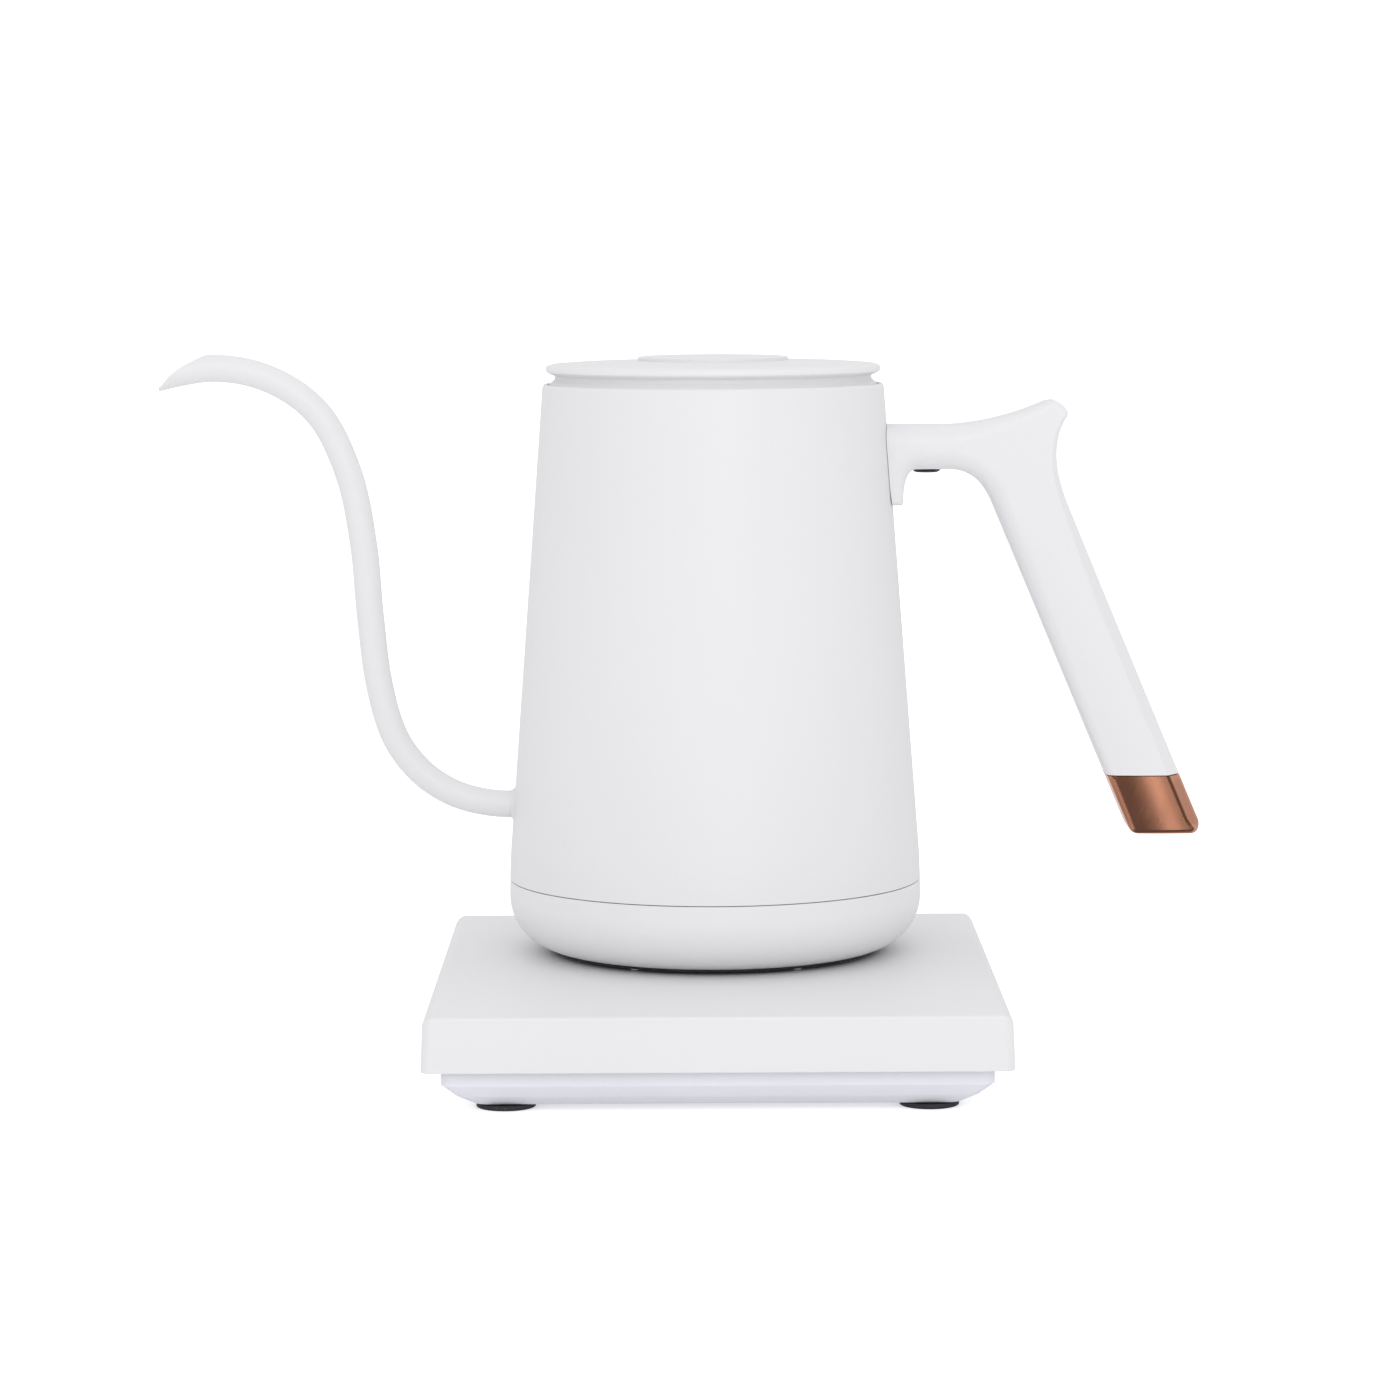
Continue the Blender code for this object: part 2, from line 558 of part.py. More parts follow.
def kettle_coupling():
    """Upper half of the coupling: a skirt and two rings that enter the socket's slot."""
    web, web_top = 10.5 * MM, 12.5 * MM
    profile = [
        (1.9 * MM, web_top), (22.3 * MM, web_top), (22.3 * MM, 6.5 * MM), (38 * MM, 6.5 * MM),
        (38 * MM, 4 * MM), (22.3 * MM, 4 * MM), (22.3 * MM, 1 * MM), (20.4 * MM, 1 * MM),
        (20.4 * MM, web), (10.7 * MM, web), (10.7 * MM, 1.4 * MM), (9.9 * MM, 1.4 * MM),
        (9.9 * MM, web), (1.9 * MM, web),
    ]
    housing = turned("connector_housing", profile, "black_plastic")
    for i, (x, y) in enumerate(bottom_screw_places()):
        boolean(housing, cylinder(f"flange_hole_{i + 1}", 1.4 * MM, 3 * MM, 8 * MM,
                                  location=(x, y, 0), sides=12))
        screw = screw_profile(2.6 * MM, 0.6 * MM, 1.8 * MM, 1.1 * MM, 9 * MM)
        turned(f"bottom_screw_{i + 1}", screw, "steel", (x, y, 0), SCREW_STEPS, closed=False)
    for name, inner, outer in (("connector_ring_live", 11.0 * MM, 11.6 * MM),
                               ("connector_ring_neutral", 9.0 * MM, 9.6 * MM)):
        turned(name, [(inner, 10.1 * MM), (outer, 10.1 * MM), (outer, 3 * MM), (inner, 3 * MM)],
               "brass", steps=24)
    pin = [(0, 14.6 * MM), (3 * MM, 14.6 * MM), (3 * MM, web_top + GAP), (1.6 * MM, web_top + GAP),
           (1.6 * MM, -6 * MM), (1 * MM, -7 * MM), (0, -7 * MM)]
    turned("connector_earth_pin", pin, "brass", steps=16, closed=False)


def heating():
    plate_top = PLATE_Z + 1.2 * MM
    plate_r = 51.0 * MM
    sensor_x = 22 * MM
    plate = turned("heating_plate", [(0, plate_top), (plate_r, plate_top), (plate_r, PLATE_Z),
                                     (0, PLATE_Z)], "steel", closed=False)
    boolean(plate, cylinder("sensor_hole", 2.5 * MM, PLATE_Z - 1 * MM, plate_top + 1 * MM,
                            location=(sensor_x, 0, 0), sides=16))
    seal_low, seal_high = PLATE_Z - 0.35 * MM, plate_top + 1 * MM
    turned("plate_seal", [(51.4 * MM, seal_high), (53.7 * MM, seal_high), (53.9 * MM, seal_low),
                          (51.4 * MM, seal_low)], "silicone")
    ring_r, tube_r = 33 * MM, 3.6 * MM
    ring_z = PLATE_Z - GAP - tube_r
    turns = [math.radians(15 + 330 * i / 24) for i in range(25)]
    solid_tube("heating_element", [(ring_r * math.cos(a), ring_r * math.sin(a), ring_z)
                                   for a in turns], tube_r, "steel")
    probe = [(0, 29 * MM), (1.4 * MM, 28.6 * MM), (2 * MM, 27.6 * MM), (2 * MM, PLATE_Z - GAP),
             (4.5 * MM, PLATE_Z - GAP), (4.5 * MM, 18 * MM), (0, 18 * MM)]
    turned("temperature_sensor", probe, "steel", (sensor_x, 0, 0), steps=16, closed=False)
    cylinder("thermal_cutout", 8 * MM, 17 * MM, PLATE_Z - GAP, "brass", (-12 * MM, 0, 0))


# -------------------------------------------------------------------- handle
def bend(start, corner, end, count):
    """A quadratic bend from start to end that leaves towards the corner."""
    points = []
    for i in range(count + 1):
        t = i / count
        points.append(tuple((1 - t) ** 2 * a + 2 * t * (1 - t) * b + t * t * c
                            for a, b, c in zip(start, corner, end)))
    return points


def handle_outline():
    """Side outline of arm, horn, grip and prong, as (x, z), clockwise from the arm's root."""
    lean = math.tan(math.radians(GRIP_LEAN))
    root_x = 43 * MM
    back_foot = (GRIP_BACK_X + (GRIP_TOP_Z - CAP_BOTTOM_Z - 3.6 * MM) * lean, CAP_BOTTOM_Z + 3.6 * MM)
    front_foot = (GRIP_FRONT_X + (GRIP_TOP_Z - CAP_BOTTOM_Z - 2.6 * MM) * lean,
                  CAP_BOTTOM_Z + 2.6 * MM)
    outline = [(root_x, ARM_TOP_Z)]
    outline += bend((62 * MM, ARM_TOP_Z - 0.1 * MM), (76 * MM, 141.5 * MM), (89.4 * MM, HORN_Z), 6)
    outline += bend((91.0 * MM, HORN_Z), (HORN_X, HORN_Z - 0.2 * MM), (93.9 * MM, 144.4 * MM), 3)
    outline += bend((94.0 * MM, 143.3 * MM), (88.2 * MM, 133.5 * MM), (GRIP_BACK_X, GRIP_TOP_Z), 8)
    outline += bend(back_foot, (HANDLE_REACH, CAP_BOTTOM_Z), (126.6 * MM, CAP_BOTTOM_Z), 3)
    outline += bend((114.9 * MM, CAP_BOTTOM_Z), (112.6 * MM, CAP_BOTTOM_Z), front_foot, 2)
    outline += bend((GRIP_FRONT_X, GRIP_TOP_Z), (70.7 * MM, ARM_BOTTOM_Z), (62.5 * MM, ARM_BOTTOM_Z), 6)
    outline += bend((54 * MM, ARM_BOTTOM_Z), (50.3 * MM, ARM_BOTTOM_Z), (50.0 * MM, 121 * MM), 5)
    outline += [(49.7 * MM, PRONG_BOTTOM_Z), (root_x, PRONG_BOTTOM_Z)]
    return outline


def handle_blank(name, kind):
    """The whole handle as one eased slab, before it is split at the end cap's joint."""
    bm = bmesh.new()
    half = HANDLE_WIDTH / 2
    side = bm.faces.new([bm.verts.new((x, half, z)) for x, z in handle_outline()])
    swept = bmesh.ops.extrude_face_region(bm, geom=[side])
    moved = [v for v in swept["geom"] if isinstance(v, bmesh.types.BMVert)]
    bmesh.ops.translate(bm, vec=(0, -HANDLE_WIDTH, 0), verts=moved)
    bmesh.ops.recalc_face_normals(bm, faces=bm.faces)
    piece = from_bmesh(name, bm, kind)
    eased = piece.modifiers.new("eased edges", "BEVEL")
    eased.width = HANDLE_EDGE
    eased.segments = 2
    eased.limit_method = "ANGLE"
    eased.angle_limit = math.radians(60)
    return piece


def body_keep_out(name, clearance, low, high):
    """A cone a little larger than the body, which hollows whatever hugs the body."""
    bm = bmesh.new()
    bmesh.ops.create_cone(bm, cap_ends=True, segments=64, radius1=body_radius(low) + clearance,
                          radius2=body_radius(high) + clearance, depth=high - low)
    bmesh.ops.translate(bm, vec=(0, 0, (low + high) / 2), verts=bm.verts)
    return from_bmesh(name, bm)


def handle():
    wide = HANDLE_WIDTH
    screw_x = 56.8 * MM
    grip = handle_blank("handle_grip", "white_plastic")
    below = box("below_joint", (40 * MM, -wide, 0), (150 * MM, wide, CAP_JOINT_Z + GAP / 2))
    boolean(grip, below)
    boolean(grip, body_keep_out("grip_hollow", 0.4 * MM, 110 * MM, 148 * MM))
    boolean(grip, box("bracket_pocket", (40 * MM, -6.4 * MM, 121.6 * MM),
                      (50.4 * MM, 6.4 * MM, 138.4 * MM)))
    boolean(grip, box("tongue_pocket", (49 * MM, -5.3 * MM, 132 * MM),
                      (68 * MM, 5.3 * MM, 137.4 * MM)))
    boolean(grip, cylinder("handle_screw_hole", 1.7 * MM, 127 * MM, 134 * MM,
                           location=(screw_x, 0, 0), sides=12))
    boolean(grip, cylinder("handle_head_sink", 3.2 * MM, 127 * MM, 130.9 * MM,
                           location=(screw_x, 0, 0), sides=16))
    cap = handle_blank("handle_end_cap", "copper")
    boolean(cap, box("above_joint", (40 * MM, -wide, CAP_JOINT_Z - GAP / 2),
                     (150 * MM, wide, 160 * MM)))
    bracket = box("handle_bracket", (44 * MM, -6 * MM, 122 * MM), (49.8 * MM, 6 * MM, 138 * MM), "steel")
    boolean(bracket, box("tongue", (49 * MM, -5 * MM, 132.4 * MM), (67 * MM, 5 * MM, 137 * MM)), "UNION")
    boolean(bracket, body_keep_out("bracket_hollow", GAP, 115 * MM, 145 * MM))
    boolean(bracket, cylinder("tongue_hole", 1.4 * MM, 130 * MM, 136 * MM, location=(screw_x, 0, 0),
                              sides=12))
    turned("handle_screw", screw_profile(2.7 * MM, 129.4 * MM, 130.6 * MM, 1.1 * MM, 135.5 * MM),
           "steel", (screw_x, 0, 0), SCREW_STEPS, closed=False)
    cover = [(0, 129.1 * MM), (2.8 * MM, 129.1 * MM), (2.8 * MM, 128.6 * MM), (4 * MM, 128.4 * MM),
             (3.6 * MM, 128 * MM), (0, 128 * MM)]
    turned("handle_screw_cover", cover, "black_plastic", (screw_x, 0, 0), steps=16, closed=False)


# ----------------------------------------------------------------------- lid
def lid():
    under = LID_TOP - 2 * MM
    profile = [
        (0, 158.5 * MM), (18.8 * MM, BOSS_TOP), (19.6 * MM, 158.8 * MM), (BOSS_RADIUS, 158.4 * MM),
        (BOSS_RADIUS, LID_TOP), (43.5 * MM, LID_TOP),
        (LID_RADIUS, 156 * MM), (44.1 * MM, 155.3 * MM), (42.5 * MM, 154 * MM),
        (LID_NECK, 152.9 * MM), (LID_NECK, LID_SEAT),
        (40 * MM, LID_SEAT), (40 * MM, under), (4 * MM, under), (4 * MM, 142.5 * MM),
        (1.4 * MM, 142.5 * MM), (1.4 * MM, 150 * MM), (0, 150 * MM),
    ]
    turned("lid_top", profile, "white_plastic", steps=LARGE_STEPS, closed=False)
    plug_top, plug_bottom, plug_r, groove_r = 154.5 * MM, 141 * MM, 39.7 * MM, 38.5 * MM
    plug = [
        (37.4 * MM, plug_top), (plug_r, plug_top), (plug_r, 148.5 * MM), (groove_r, 148.5 * MM),
        (groove_r, 145.5 * MM), (plug_r, 145.5 * MM), (plug_r, plug_bottom + 1 * MM),
        (plug_r - 1 * MM, plug_bottom), (1.6 * MM, plug_bottom), (1.6 * MM, plug_bottom + 1.2 * MM),
        (37.4 * MM, plug_bottom + 1.2 * MM),
    ]
    turned("lid_plug", plug, "inner_plastic")
    seal = [(38.9 * MM, 148.2 * MM), (40.2 * MM, 148.2 * MM), (40.6 * MM, 147 * MM),
            (40.2 * MM, 145.8 * MM), (38.9 * MM, 145.8 * MM)]
    turned("lid_seal", seal, "silicone")
    turned("lid_screw", screw_profile(3.2 * MM, 139.3 * MM, 140.7 * MM, 1.1 * MM, 149 * MM),
           "steel", steps=SCREW_STEPS, closed=False)


# ------------------------------------------------------------------ assembly
base_top_shell()
tray = base_bottom_tray()
base_feet()
base_screws()
cord_gland(tray)
base_electronics(tray)
socket()
body_shell()
spout_tube()
collar()
bottom_plate()
kettle_coupling()
heating()
handle()
lid()
bpy.context.view_layer.update()
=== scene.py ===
# %% [markdown]
# # An electric gooseneck kettle on its power base
#
# A gooseneck kettle pours a thin, steady stream for filter coffee. This one is a
# white painted steel cone with a bent tube for a spout, a moulded handle that ends in
# a copper-coloured cap, a round lid, and a flat square base that powers it through a
# round coupling. The lesson builds the visible pieces around a packed engineering
# model: every piece lands where that model says, and rides on one of its bodies.

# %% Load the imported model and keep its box
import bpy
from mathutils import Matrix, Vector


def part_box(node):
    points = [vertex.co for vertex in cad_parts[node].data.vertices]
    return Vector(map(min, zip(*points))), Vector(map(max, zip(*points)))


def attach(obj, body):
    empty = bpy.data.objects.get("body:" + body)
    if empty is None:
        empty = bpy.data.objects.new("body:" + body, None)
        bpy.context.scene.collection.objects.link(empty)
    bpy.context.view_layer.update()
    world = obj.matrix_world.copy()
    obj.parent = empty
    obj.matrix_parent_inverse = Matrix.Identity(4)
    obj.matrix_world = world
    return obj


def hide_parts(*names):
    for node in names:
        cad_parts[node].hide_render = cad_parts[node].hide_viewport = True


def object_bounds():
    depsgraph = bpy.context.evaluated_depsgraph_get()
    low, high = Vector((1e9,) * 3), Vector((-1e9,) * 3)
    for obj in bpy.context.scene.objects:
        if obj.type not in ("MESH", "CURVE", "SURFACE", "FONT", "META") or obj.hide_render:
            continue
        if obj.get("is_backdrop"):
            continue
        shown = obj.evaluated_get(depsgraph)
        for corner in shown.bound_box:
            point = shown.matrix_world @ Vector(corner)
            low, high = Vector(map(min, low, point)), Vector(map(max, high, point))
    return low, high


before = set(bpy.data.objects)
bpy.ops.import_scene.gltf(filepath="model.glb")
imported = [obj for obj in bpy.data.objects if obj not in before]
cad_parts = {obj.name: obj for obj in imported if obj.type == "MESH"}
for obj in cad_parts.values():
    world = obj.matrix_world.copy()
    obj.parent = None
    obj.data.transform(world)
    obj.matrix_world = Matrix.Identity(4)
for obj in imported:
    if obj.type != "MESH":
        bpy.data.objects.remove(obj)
CAD_LOW, CAD_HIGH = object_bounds()
print("nodes:", len(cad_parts))

# %% Tools of the lesson
import math

import bmesh
import bpy
from mathutils import Matrix, Vector

print("Blender", bpy.app.version_string)

# %% [markdown]
# ## One frame for every measure
#
# The kettle turns about its own axis, and everything round is drawn from that axis in
# millimetres. One could write world coordinates everywhere, but then no number would
# be one that a maker knows. So shapes are drawn in kettle millimetres, with height 0
# at the base's top face, and a single matrix carries them to their place.

# %% The kettle's axis
MM = 0.001
body_low, body_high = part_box("body_shell")
BASE_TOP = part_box("base_top_shell")[1].z
AXIS = Vector(((body_low.x + body_high.x) / 2, (body_low.y + body_high.y) / 2, BASE_TOP))
TO_WORLD = Matrix.Translation(AXIS) @ Matrix.Scale(MM, 4)
FLOOR_Z = CAD_LOW.z
print("kettle axis stands at", [round(c / MM, 2) for c in AXIS], "mm")

# %% [markdown]
# ## Wires that read as sums
#
# A procedural material is arithmetic on textures. Placing Math nodes by hand hides the
# formula, so one small class wraps a socket and turns +, - and * into nodes. The same
# graph class serves shader trees and Geometry Nodes trees, because both use one method
# that takes a node's type, its settings and the values of its sockets.


# %% The wire and the graph
class Wire:
    """A value on its way through a node tree."""

    def __init__(self, graph, socket):
        self.graph = graph
        self.socket = socket

    def math(self, operation, first, second):
        return self.graph.node("ShaderNodeMath", {"operation": operation}, {0: first, 1: second})

    def __add__(self, other):
        return self.math("ADD", self, other)

    def __sub__(self, other):
        return self.math("SUBTRACT", self, other)

    def __rsub__(self, other):
        return self.math("SUBTRACT", other, self)

    def __mul__(self, other):
        return self.math("MULTIPLY", self, other)

    __radd__ = __add__
    __rmul__ = __mul__


class Graph:
    """A node tree that is filled by one method."""

    def __init__(self, tree):
        self.tree = tree

    def node(self, kind, settings=None, sockets=None, out=0):
        made = self.tree.nodes.new(kind)
        for key, value in (settings or {}).items():
            setattr(made, key, value)
        for key, value in (sockets or {}).items():
            self.feed(made.inputs[key], value)
        return Wire(self, made.outputs[out])

    def feed(self, socket, value):
        if isinstance(value, Wire):
            self.tree.links.new(value.socket, socket)
        else:
            socket.default_value = value


print("the graph knows", len([n for n in dir(Wire) if n.startswith("__r")]), "reflected forms")

# %% [markdown]
# ## What all finishes share
#
# Every surface of the kettle varies a little: a cloud of tone over centimetres, a grain
# under a millimetre, and edges that hands have polished. The variation could be painted
# as an image, but noise in object coordinates needs no unwrapping and stays sharp at any
# distance. Height feeds a Bump node with a real distance in metres, so a grain of ten
# micrometres looks like one.


# %% A finish under construction
class Finish(Graph):
    """A Principled material with the textures that a surface is made from."""

    def __init__(self, name):
        self.material = bpy.data.materials.new(name)
        self.material.use_nodes = True
        super().__init__(self.material.node_tree)
        self.shader = self.tree.nodes["Principled BSDF"]
        self.place = self.node("ShaderNodeTexCoord", out="Object")

    def noise(self, scale, detail=2.0, place=None):
        return self.node("ShaderNodeTexNoise", {}, {"Vector": place or self.place, "Scale": scale,
                                                    "Detail": detail})

    def stretched(self, lengths, turn=(0.0, 0.0, 0.0)):
        """Coordinates whose unit is the given length along each turned axis."""
        return self.node("ShaderNodeMapping", {"vector_type": "TEXTURE"},
                         {"Vector": self.place, "Rotation": turn, "Scale": lengths})

    def span(self, value, low, high, to_low, to_high):
        return self.node("ShaderNodeMapRange", {}, {"Value": value, "From Min": low,
                                                    "From Max": high, "To Min": to_low,
                                                    "To Max": to_high})

    def blend(self, share, first, second):
        return self.node("ShaderNodeMix", {"data_type": "RGBA"}, {0: share, 6: first, 7: second}, 2)

    def edges(self, low=0.51, high=0.60):
        point = self.node("ShaderNodeNewGeometry", out="Pointiness")
        return self.span(point, low, high, 0.0, 1.0)

    def finish(self, colour, roughness, height=None, depth=0.0, metallic=0.0, **fixed):
        self.feed(self.shader.inputs["Base Color"], colour)
        self.feed(self.shader.inputs["Roughness"], roughness)
        self.feed(self.shader.inputs["Metallic"], metallic)
        for name, value in fixed.items():
            self.feed(self.shader.inputs[name.replace("_", " ")], value)
        if height is not None:
            bump = self.node("ShaderNodeBump", {}, {"Height": height, "Distance": depth,
                                                    "Strength": 1.0}, "Normal")
            self.feed(self.shader.inputs["Normal"], bump)
        return self.material


def shade(colour, share):
    """A colour a little darker or lighter, opaque."""
    return (*[min(1.0, c * share) for c in colour], 1.0)


print("noise, mapping, edges and bump are ready")

# %% [markdown]
# ## Painted steel
#
# The cone, the spout and the collar wear a baked powder coat. Under the hand it is satin
# with a faint orange peel, about a millimetre from crest to crest, because the powder
# melts and flows before it sets. Two noises give it: a broad peel that bends highlights,
# and a fine tooth that keeps them soft.


# %% Powder coat
def powder_coat(name, colour):
    paint = Finish(name)
    cloud = paint.noise(9.0, 3.0)
    peel = paint.noise(750.0, 1.0)
    tooth = paint.noise(5200.0, 1.0)
    worn = paint.edges(0.53, 0.62)
    tone = paint.blend(cloud, shade(colour, 0.975), shade(colour, 1.015))
    tone = paint.blend(worn * 0.35, tone, shade(colour, 0.955))
    roughness = 0.40 + 0.10 * cloud - 0.08 * worn + 0.05 * (tooth - 0.5)
    return paint.finish(tone, roughness, peel * 0.8 + tooth * 0.2, 0.000035)


WHITE = (0.785, 0.785, 0.792)
COLLAR_WHITE = (0.80, 0.80, 0.805)
body_paint = powder_coat("white_powder_coat", WHITE)
spout_paint = powder_coat("white_spout_coat", WHITE)
print("powder coats:", body_paint.name, spout_paint.name)

# %% [markdown]
# ## Moulded plastic
#
# The base, the lid, the collar and the handle are injection moulded. The steel mould is
# etched, so the plastic carries a fine even grain, and touched edges go slightly
# glossier. A cell texture mixed with noise looks more like etching than noise alone. The
# same recipe serves white, black and grey parts with their own colour, grain and gloss.


# %% Moulded plastics
def moulded(name, colour, gloss=0.45, grain=2600.0, depth=0.000010):
    plastic = Finish(name)
    cloud = plastic.noise(12.0, 2.0)
    etched = plastic.node("ShaderNodeTexVoronoi", {"feature": "SMOOTH_F1"},
                          {"Vector": plastic.place, "Scale": grain}, "Distance")
    fine = plastic.noise(grain * 2.1, 1.0)
    worn = plastic.edges()
    tone = plastic.blend(cloud, shade(colour, 0.972), shade(colour, 1.02))
    tone = plastic.blend(worn * 0.3, tone, shade(colour, 0.95))
    roughness = gloss + 0.09 * cloud - 0.10 * worn + 0.06 * (fine - 0.5)
    return plastic.finish(tone, roughness, etched * 0.6 + fine * 0.4, depth)


shell_plastic = moulded("white_base_plastic", (0.785, 0.785, 0.795), 0.46)
tray_plastic = moulded("lavender_tray_plastic", (0.86, 0.86, 0.92), 0.50, 2200.0, 0.000014)
collar_plastic = moulded("white_collar_plastic", COLLAR_WHITE, 0.42)
lid_plastic = moulded("white_lid_plastic", (0.79, 0.79, 0.80), 0.40)
inner_plastic = moulded("grey_white_inner_plastic", (0.60, 0.60, 0.62), 0.52, 1900.0, 0.000014)
grip_plastic = moulded("white_handle_plastic", (0.79, 0.79, 0.80), 0.38, 3000.0, 0.000007)
black_plastic = moulded("black_plastic", (0.018, 0.018, 0.020), 0.46, 1500.0, 0.000018)
print("moulded plastics: 7")

# %% [markdown]
# ## Rubber and silicone
#
# Feet are black rubber with a dry, dusty face. The seals are translucent silicone, which
# light enters a little, so they get a soft scatter under the surface. Both are matt, and
# both pick up lint, which a sparse noise gives as pale specks.


# %% Soft materials
def elastic(name, colour, dust, scatter):
    soft = Finish(name)
    cloud = soft.noise(60.0, 3.0)
    pores = soft.noise(3800.0, 2.0)
    specks = soft.span(soft.noise(900.0, 2.0), 0.66, 0.74, 0.0, 1.0)
    tone = soft.blend(cloud, shade(colour, 0.85), shade(colour, 1.15))
    tone = soft.blend(specks * dust, tone, shade((0.5, 0.49, 0.47), 1.0))
    fixed = {"Subsurface_Weight": scatter, "Subsurface_Radius": (0.002, 0.002, 0.002)}
    return soft.finish(tone, 0.62 + 0.20 * pores, pores, 0.000022, **fixed)


foot_rubber = elastic("black_foot_rubber", (0.035, 0.035, 0.040), 0.12, 0.0)
silicone = elastic("clear_white_silicone", (0.66, 0.66, 0.67), 0.05, 0.15)
print("soft materials:", foot_rubber.name, silicone.name)

# %% [markdown]
# ## Metals
#
# The cap is copper plated and brushed along the handle, the inside of the kettle is spun
# steel with fine rings about its axis, screws are zinc plated, and the contacts are
# brass. Brushing could be faked with an anisotropic shader, but stretched noise in the
# roughness and the bump also shows the single scratches when one looks closely.


# %% Brushed and spun metals
def brushed(name, colour, gloss, lengths, turn=(0.0, 0.0, 0.0), depth=0.000004):
    metal = Finish(name)
    lines = metal.noise(1.0, 3.0, metal.stretched(lengths, turn))
    cloud = metal.noise(45.0, 3.0)
    worn = metal.edges(0.52, 0.60)
    tone = metal.blend(lines, shade(colour, 0.92), shade(colour, 1.06))
    tone = metal.blend(cloud * 0.35, tone, shade(colour, 0.80))
    tone = metal.blend(worn * 0.5, tone, shade(colour, 1.25))
    roughness = gloss + 0.14 * (lines - 0.5) + 0.10 * (cloud - 0.5) - 0.05 * worn
    return metal.finish(tone, roughness, lines, depth, 1.0)


RINGS_PER_METRE = 2600.0


def spun(name, colour, gloss):
    metal = Finish(name)
    flat = metal.node("ShaderNodeMapping", {}, {"Vector": metal.place, "Scale": (1.0, 1.0, 0.0),
                                                "Location": (-AXIS.x, -AXIS.y, 0.0)})
    radius = metal.node("ShaderNodeVectorMath", {"operation": "LENGTH"}, {0: flat}, "Value")
    lines = metal.node("ShaderNodeTexNoise", {"noise_dimensions": "1D"},
                       {"W": radius * RINGS_PER_METRE, "Scale": 1.0, "Detail": 3.0})
    cloud = metal.noise(30.0, 3.0)
    tone = metal.blend(lines, shade(colour, 0.88), shade(colour, 1.06))
    tone = metal.blend(cloud * 0.3, tone, shade(colour, 0.84))
    roughness = gloss + 0.12 * (lines - 0.5) + 0.08 * cloud
    return metal.finish(tone, roughness, lines, 0.000004, 1.0)


GRIP_LEAN = 22.7
ALONG_GRIP = (0.0, math.radians(GRIP_LEAN), 0.0)
copper = brushed("brushed_copper", (0.63, 0.285, 0.175), 0.24, (0.0003, 0.0003, 0.030), ALONG_GRIP,
                 0.000002)
inner_steel = brushed("spun_inner_steel", (0.60, 0.595, 0.585), 0.30, (0.060, 0.060, 0.0004))
plate_steel = spun("spun_plate_steel", (0.60, 0.595, 0.585), 0.27)
zinc = brushed("zinc_screw_steel", (0.62, 0.62, 0.60), 0.34, (0.0014, 0.0014, 0.0014))
brass = brushed("contact_brass", (0.72, 0.53, 0.24), 0.30, (0.011, 0.011, 0.0005))
print("metals: 5")

# %% [markdown]
# ## Circuit board and display glass
#
# The boards and the display sit inside the base, out of sight, but a cut-open model
# shows them. A board is green lacquer over copper tracks; a brick pattern gives the
# tracks' right angles. The display's window is smoked glass with faint wipe marks.


# %% Board and glass
def circuit_board(name):
    board = Finish(name)
    tracks = board.node("ShaderNodeTexBrick", {"offset": 0.5},
                        {"Vector": board.place, "Scale": 160.0, "Mortar Size": 0.06,
                         "Color1": (0.0, 0.0, 0.0, 1.0), "Color2": (0.25, 0.25, 0.25, 1.0),
                         "Mortar": (1.0, 1.0, 1.0, 1.0)}, "Fac")
    weave = board.noise(1400.0, 1.0)
    tone = board.blend(weave, (0.010, 0.110, 0.045, 1.0), (0.016, 0.150, 0.062, 1.0))
    tone = board.blend(tracks * 0.6, tone, (0.060, 0.240, 0.090, 1.0))
    return board.finish(tone, 0.34 + 0.12 * weave - 0.08 * tracks, tracks, 0.000035)


def smoked_glass(name):
    glass = Finish(name)
    wiped = glass.noise(1.0, 3.0, glass.stretched((0.016, 0.001, 0.016)))
    tone = glass.blend(wiped, (0.012, 0.012, 0.014, 1.0), (0.020, 0.020, 0.024, 1.0))
    return glass.finish(tone, 0.06 + 0.12 * wiped, wiped, 0.000001, Coat_Weight=0.6)


board_green = circuit_board("green_circuit_board")
display_glass = smoked_glass("smoked_display_glass")
print("board and glass:", board_green.name, display_glass.name)

# %% [markdown]
# ## Drawing a profile
#
# Most of the kettle is turned or lofted from a profile, and no real edge is perfectly
# sharp. Each corner of a profile is written as two measures and an easing radius, and
# one function rounds them all. Bevel modifiers could do this later, but a profile keeps
# each radius next to its corner and gives clean rows of faces.


# %% Eased corners
def eased(corners, steps=4, closed=False):
    """Points of a profile whose (a, b, radius) corners are rounded."""
    points = []
    count = len(corners)
    for i, (a, b, radius) in enumerate(corners):
        here = Vector((a, b))
        at_end = not closed and i in (0, count - 1)
        if radius <= 0 or at_end:
            points.append(here)
            continue
        before = Vector(corners[i - 1][:2]) - here
        after = Vector(corners[(i + 1) % count][:2]) - here
        half_turn = before.angle(after) / 2
        reach = radius / math.tan(half_turn)
        reach = min(reach, before.length * 0.48, after.length * 0.48)
        start = here + before.normalized() * reach
        end = here + after.normalized() * reach
        for k in range(steps + 1):
            t = k / steps
            points.append((1 - t) ** 2 * start + 2 * t * (1 - t) * here + t * t * end)
    return points


print("a square corner becomes", len(eased([(0, 0, 0), (1, 0, 0.2), (1, 1, 0)])), "points")

# %% [markdown]
# ## Turning and lofting
#
# Round pieces are spun about an upright axis. A Screw modifier would do the same, but
# building the rings in code closes the poles exactly and gives the number of sides that
# each size needs. Flat-sided pieces are lofted from one outline at several heights, with
# the two ends closed.


# %% Rings, bridges and lofts
SIDES = 192
BODY_SIDES = 256
SMALL_SIDES = 64


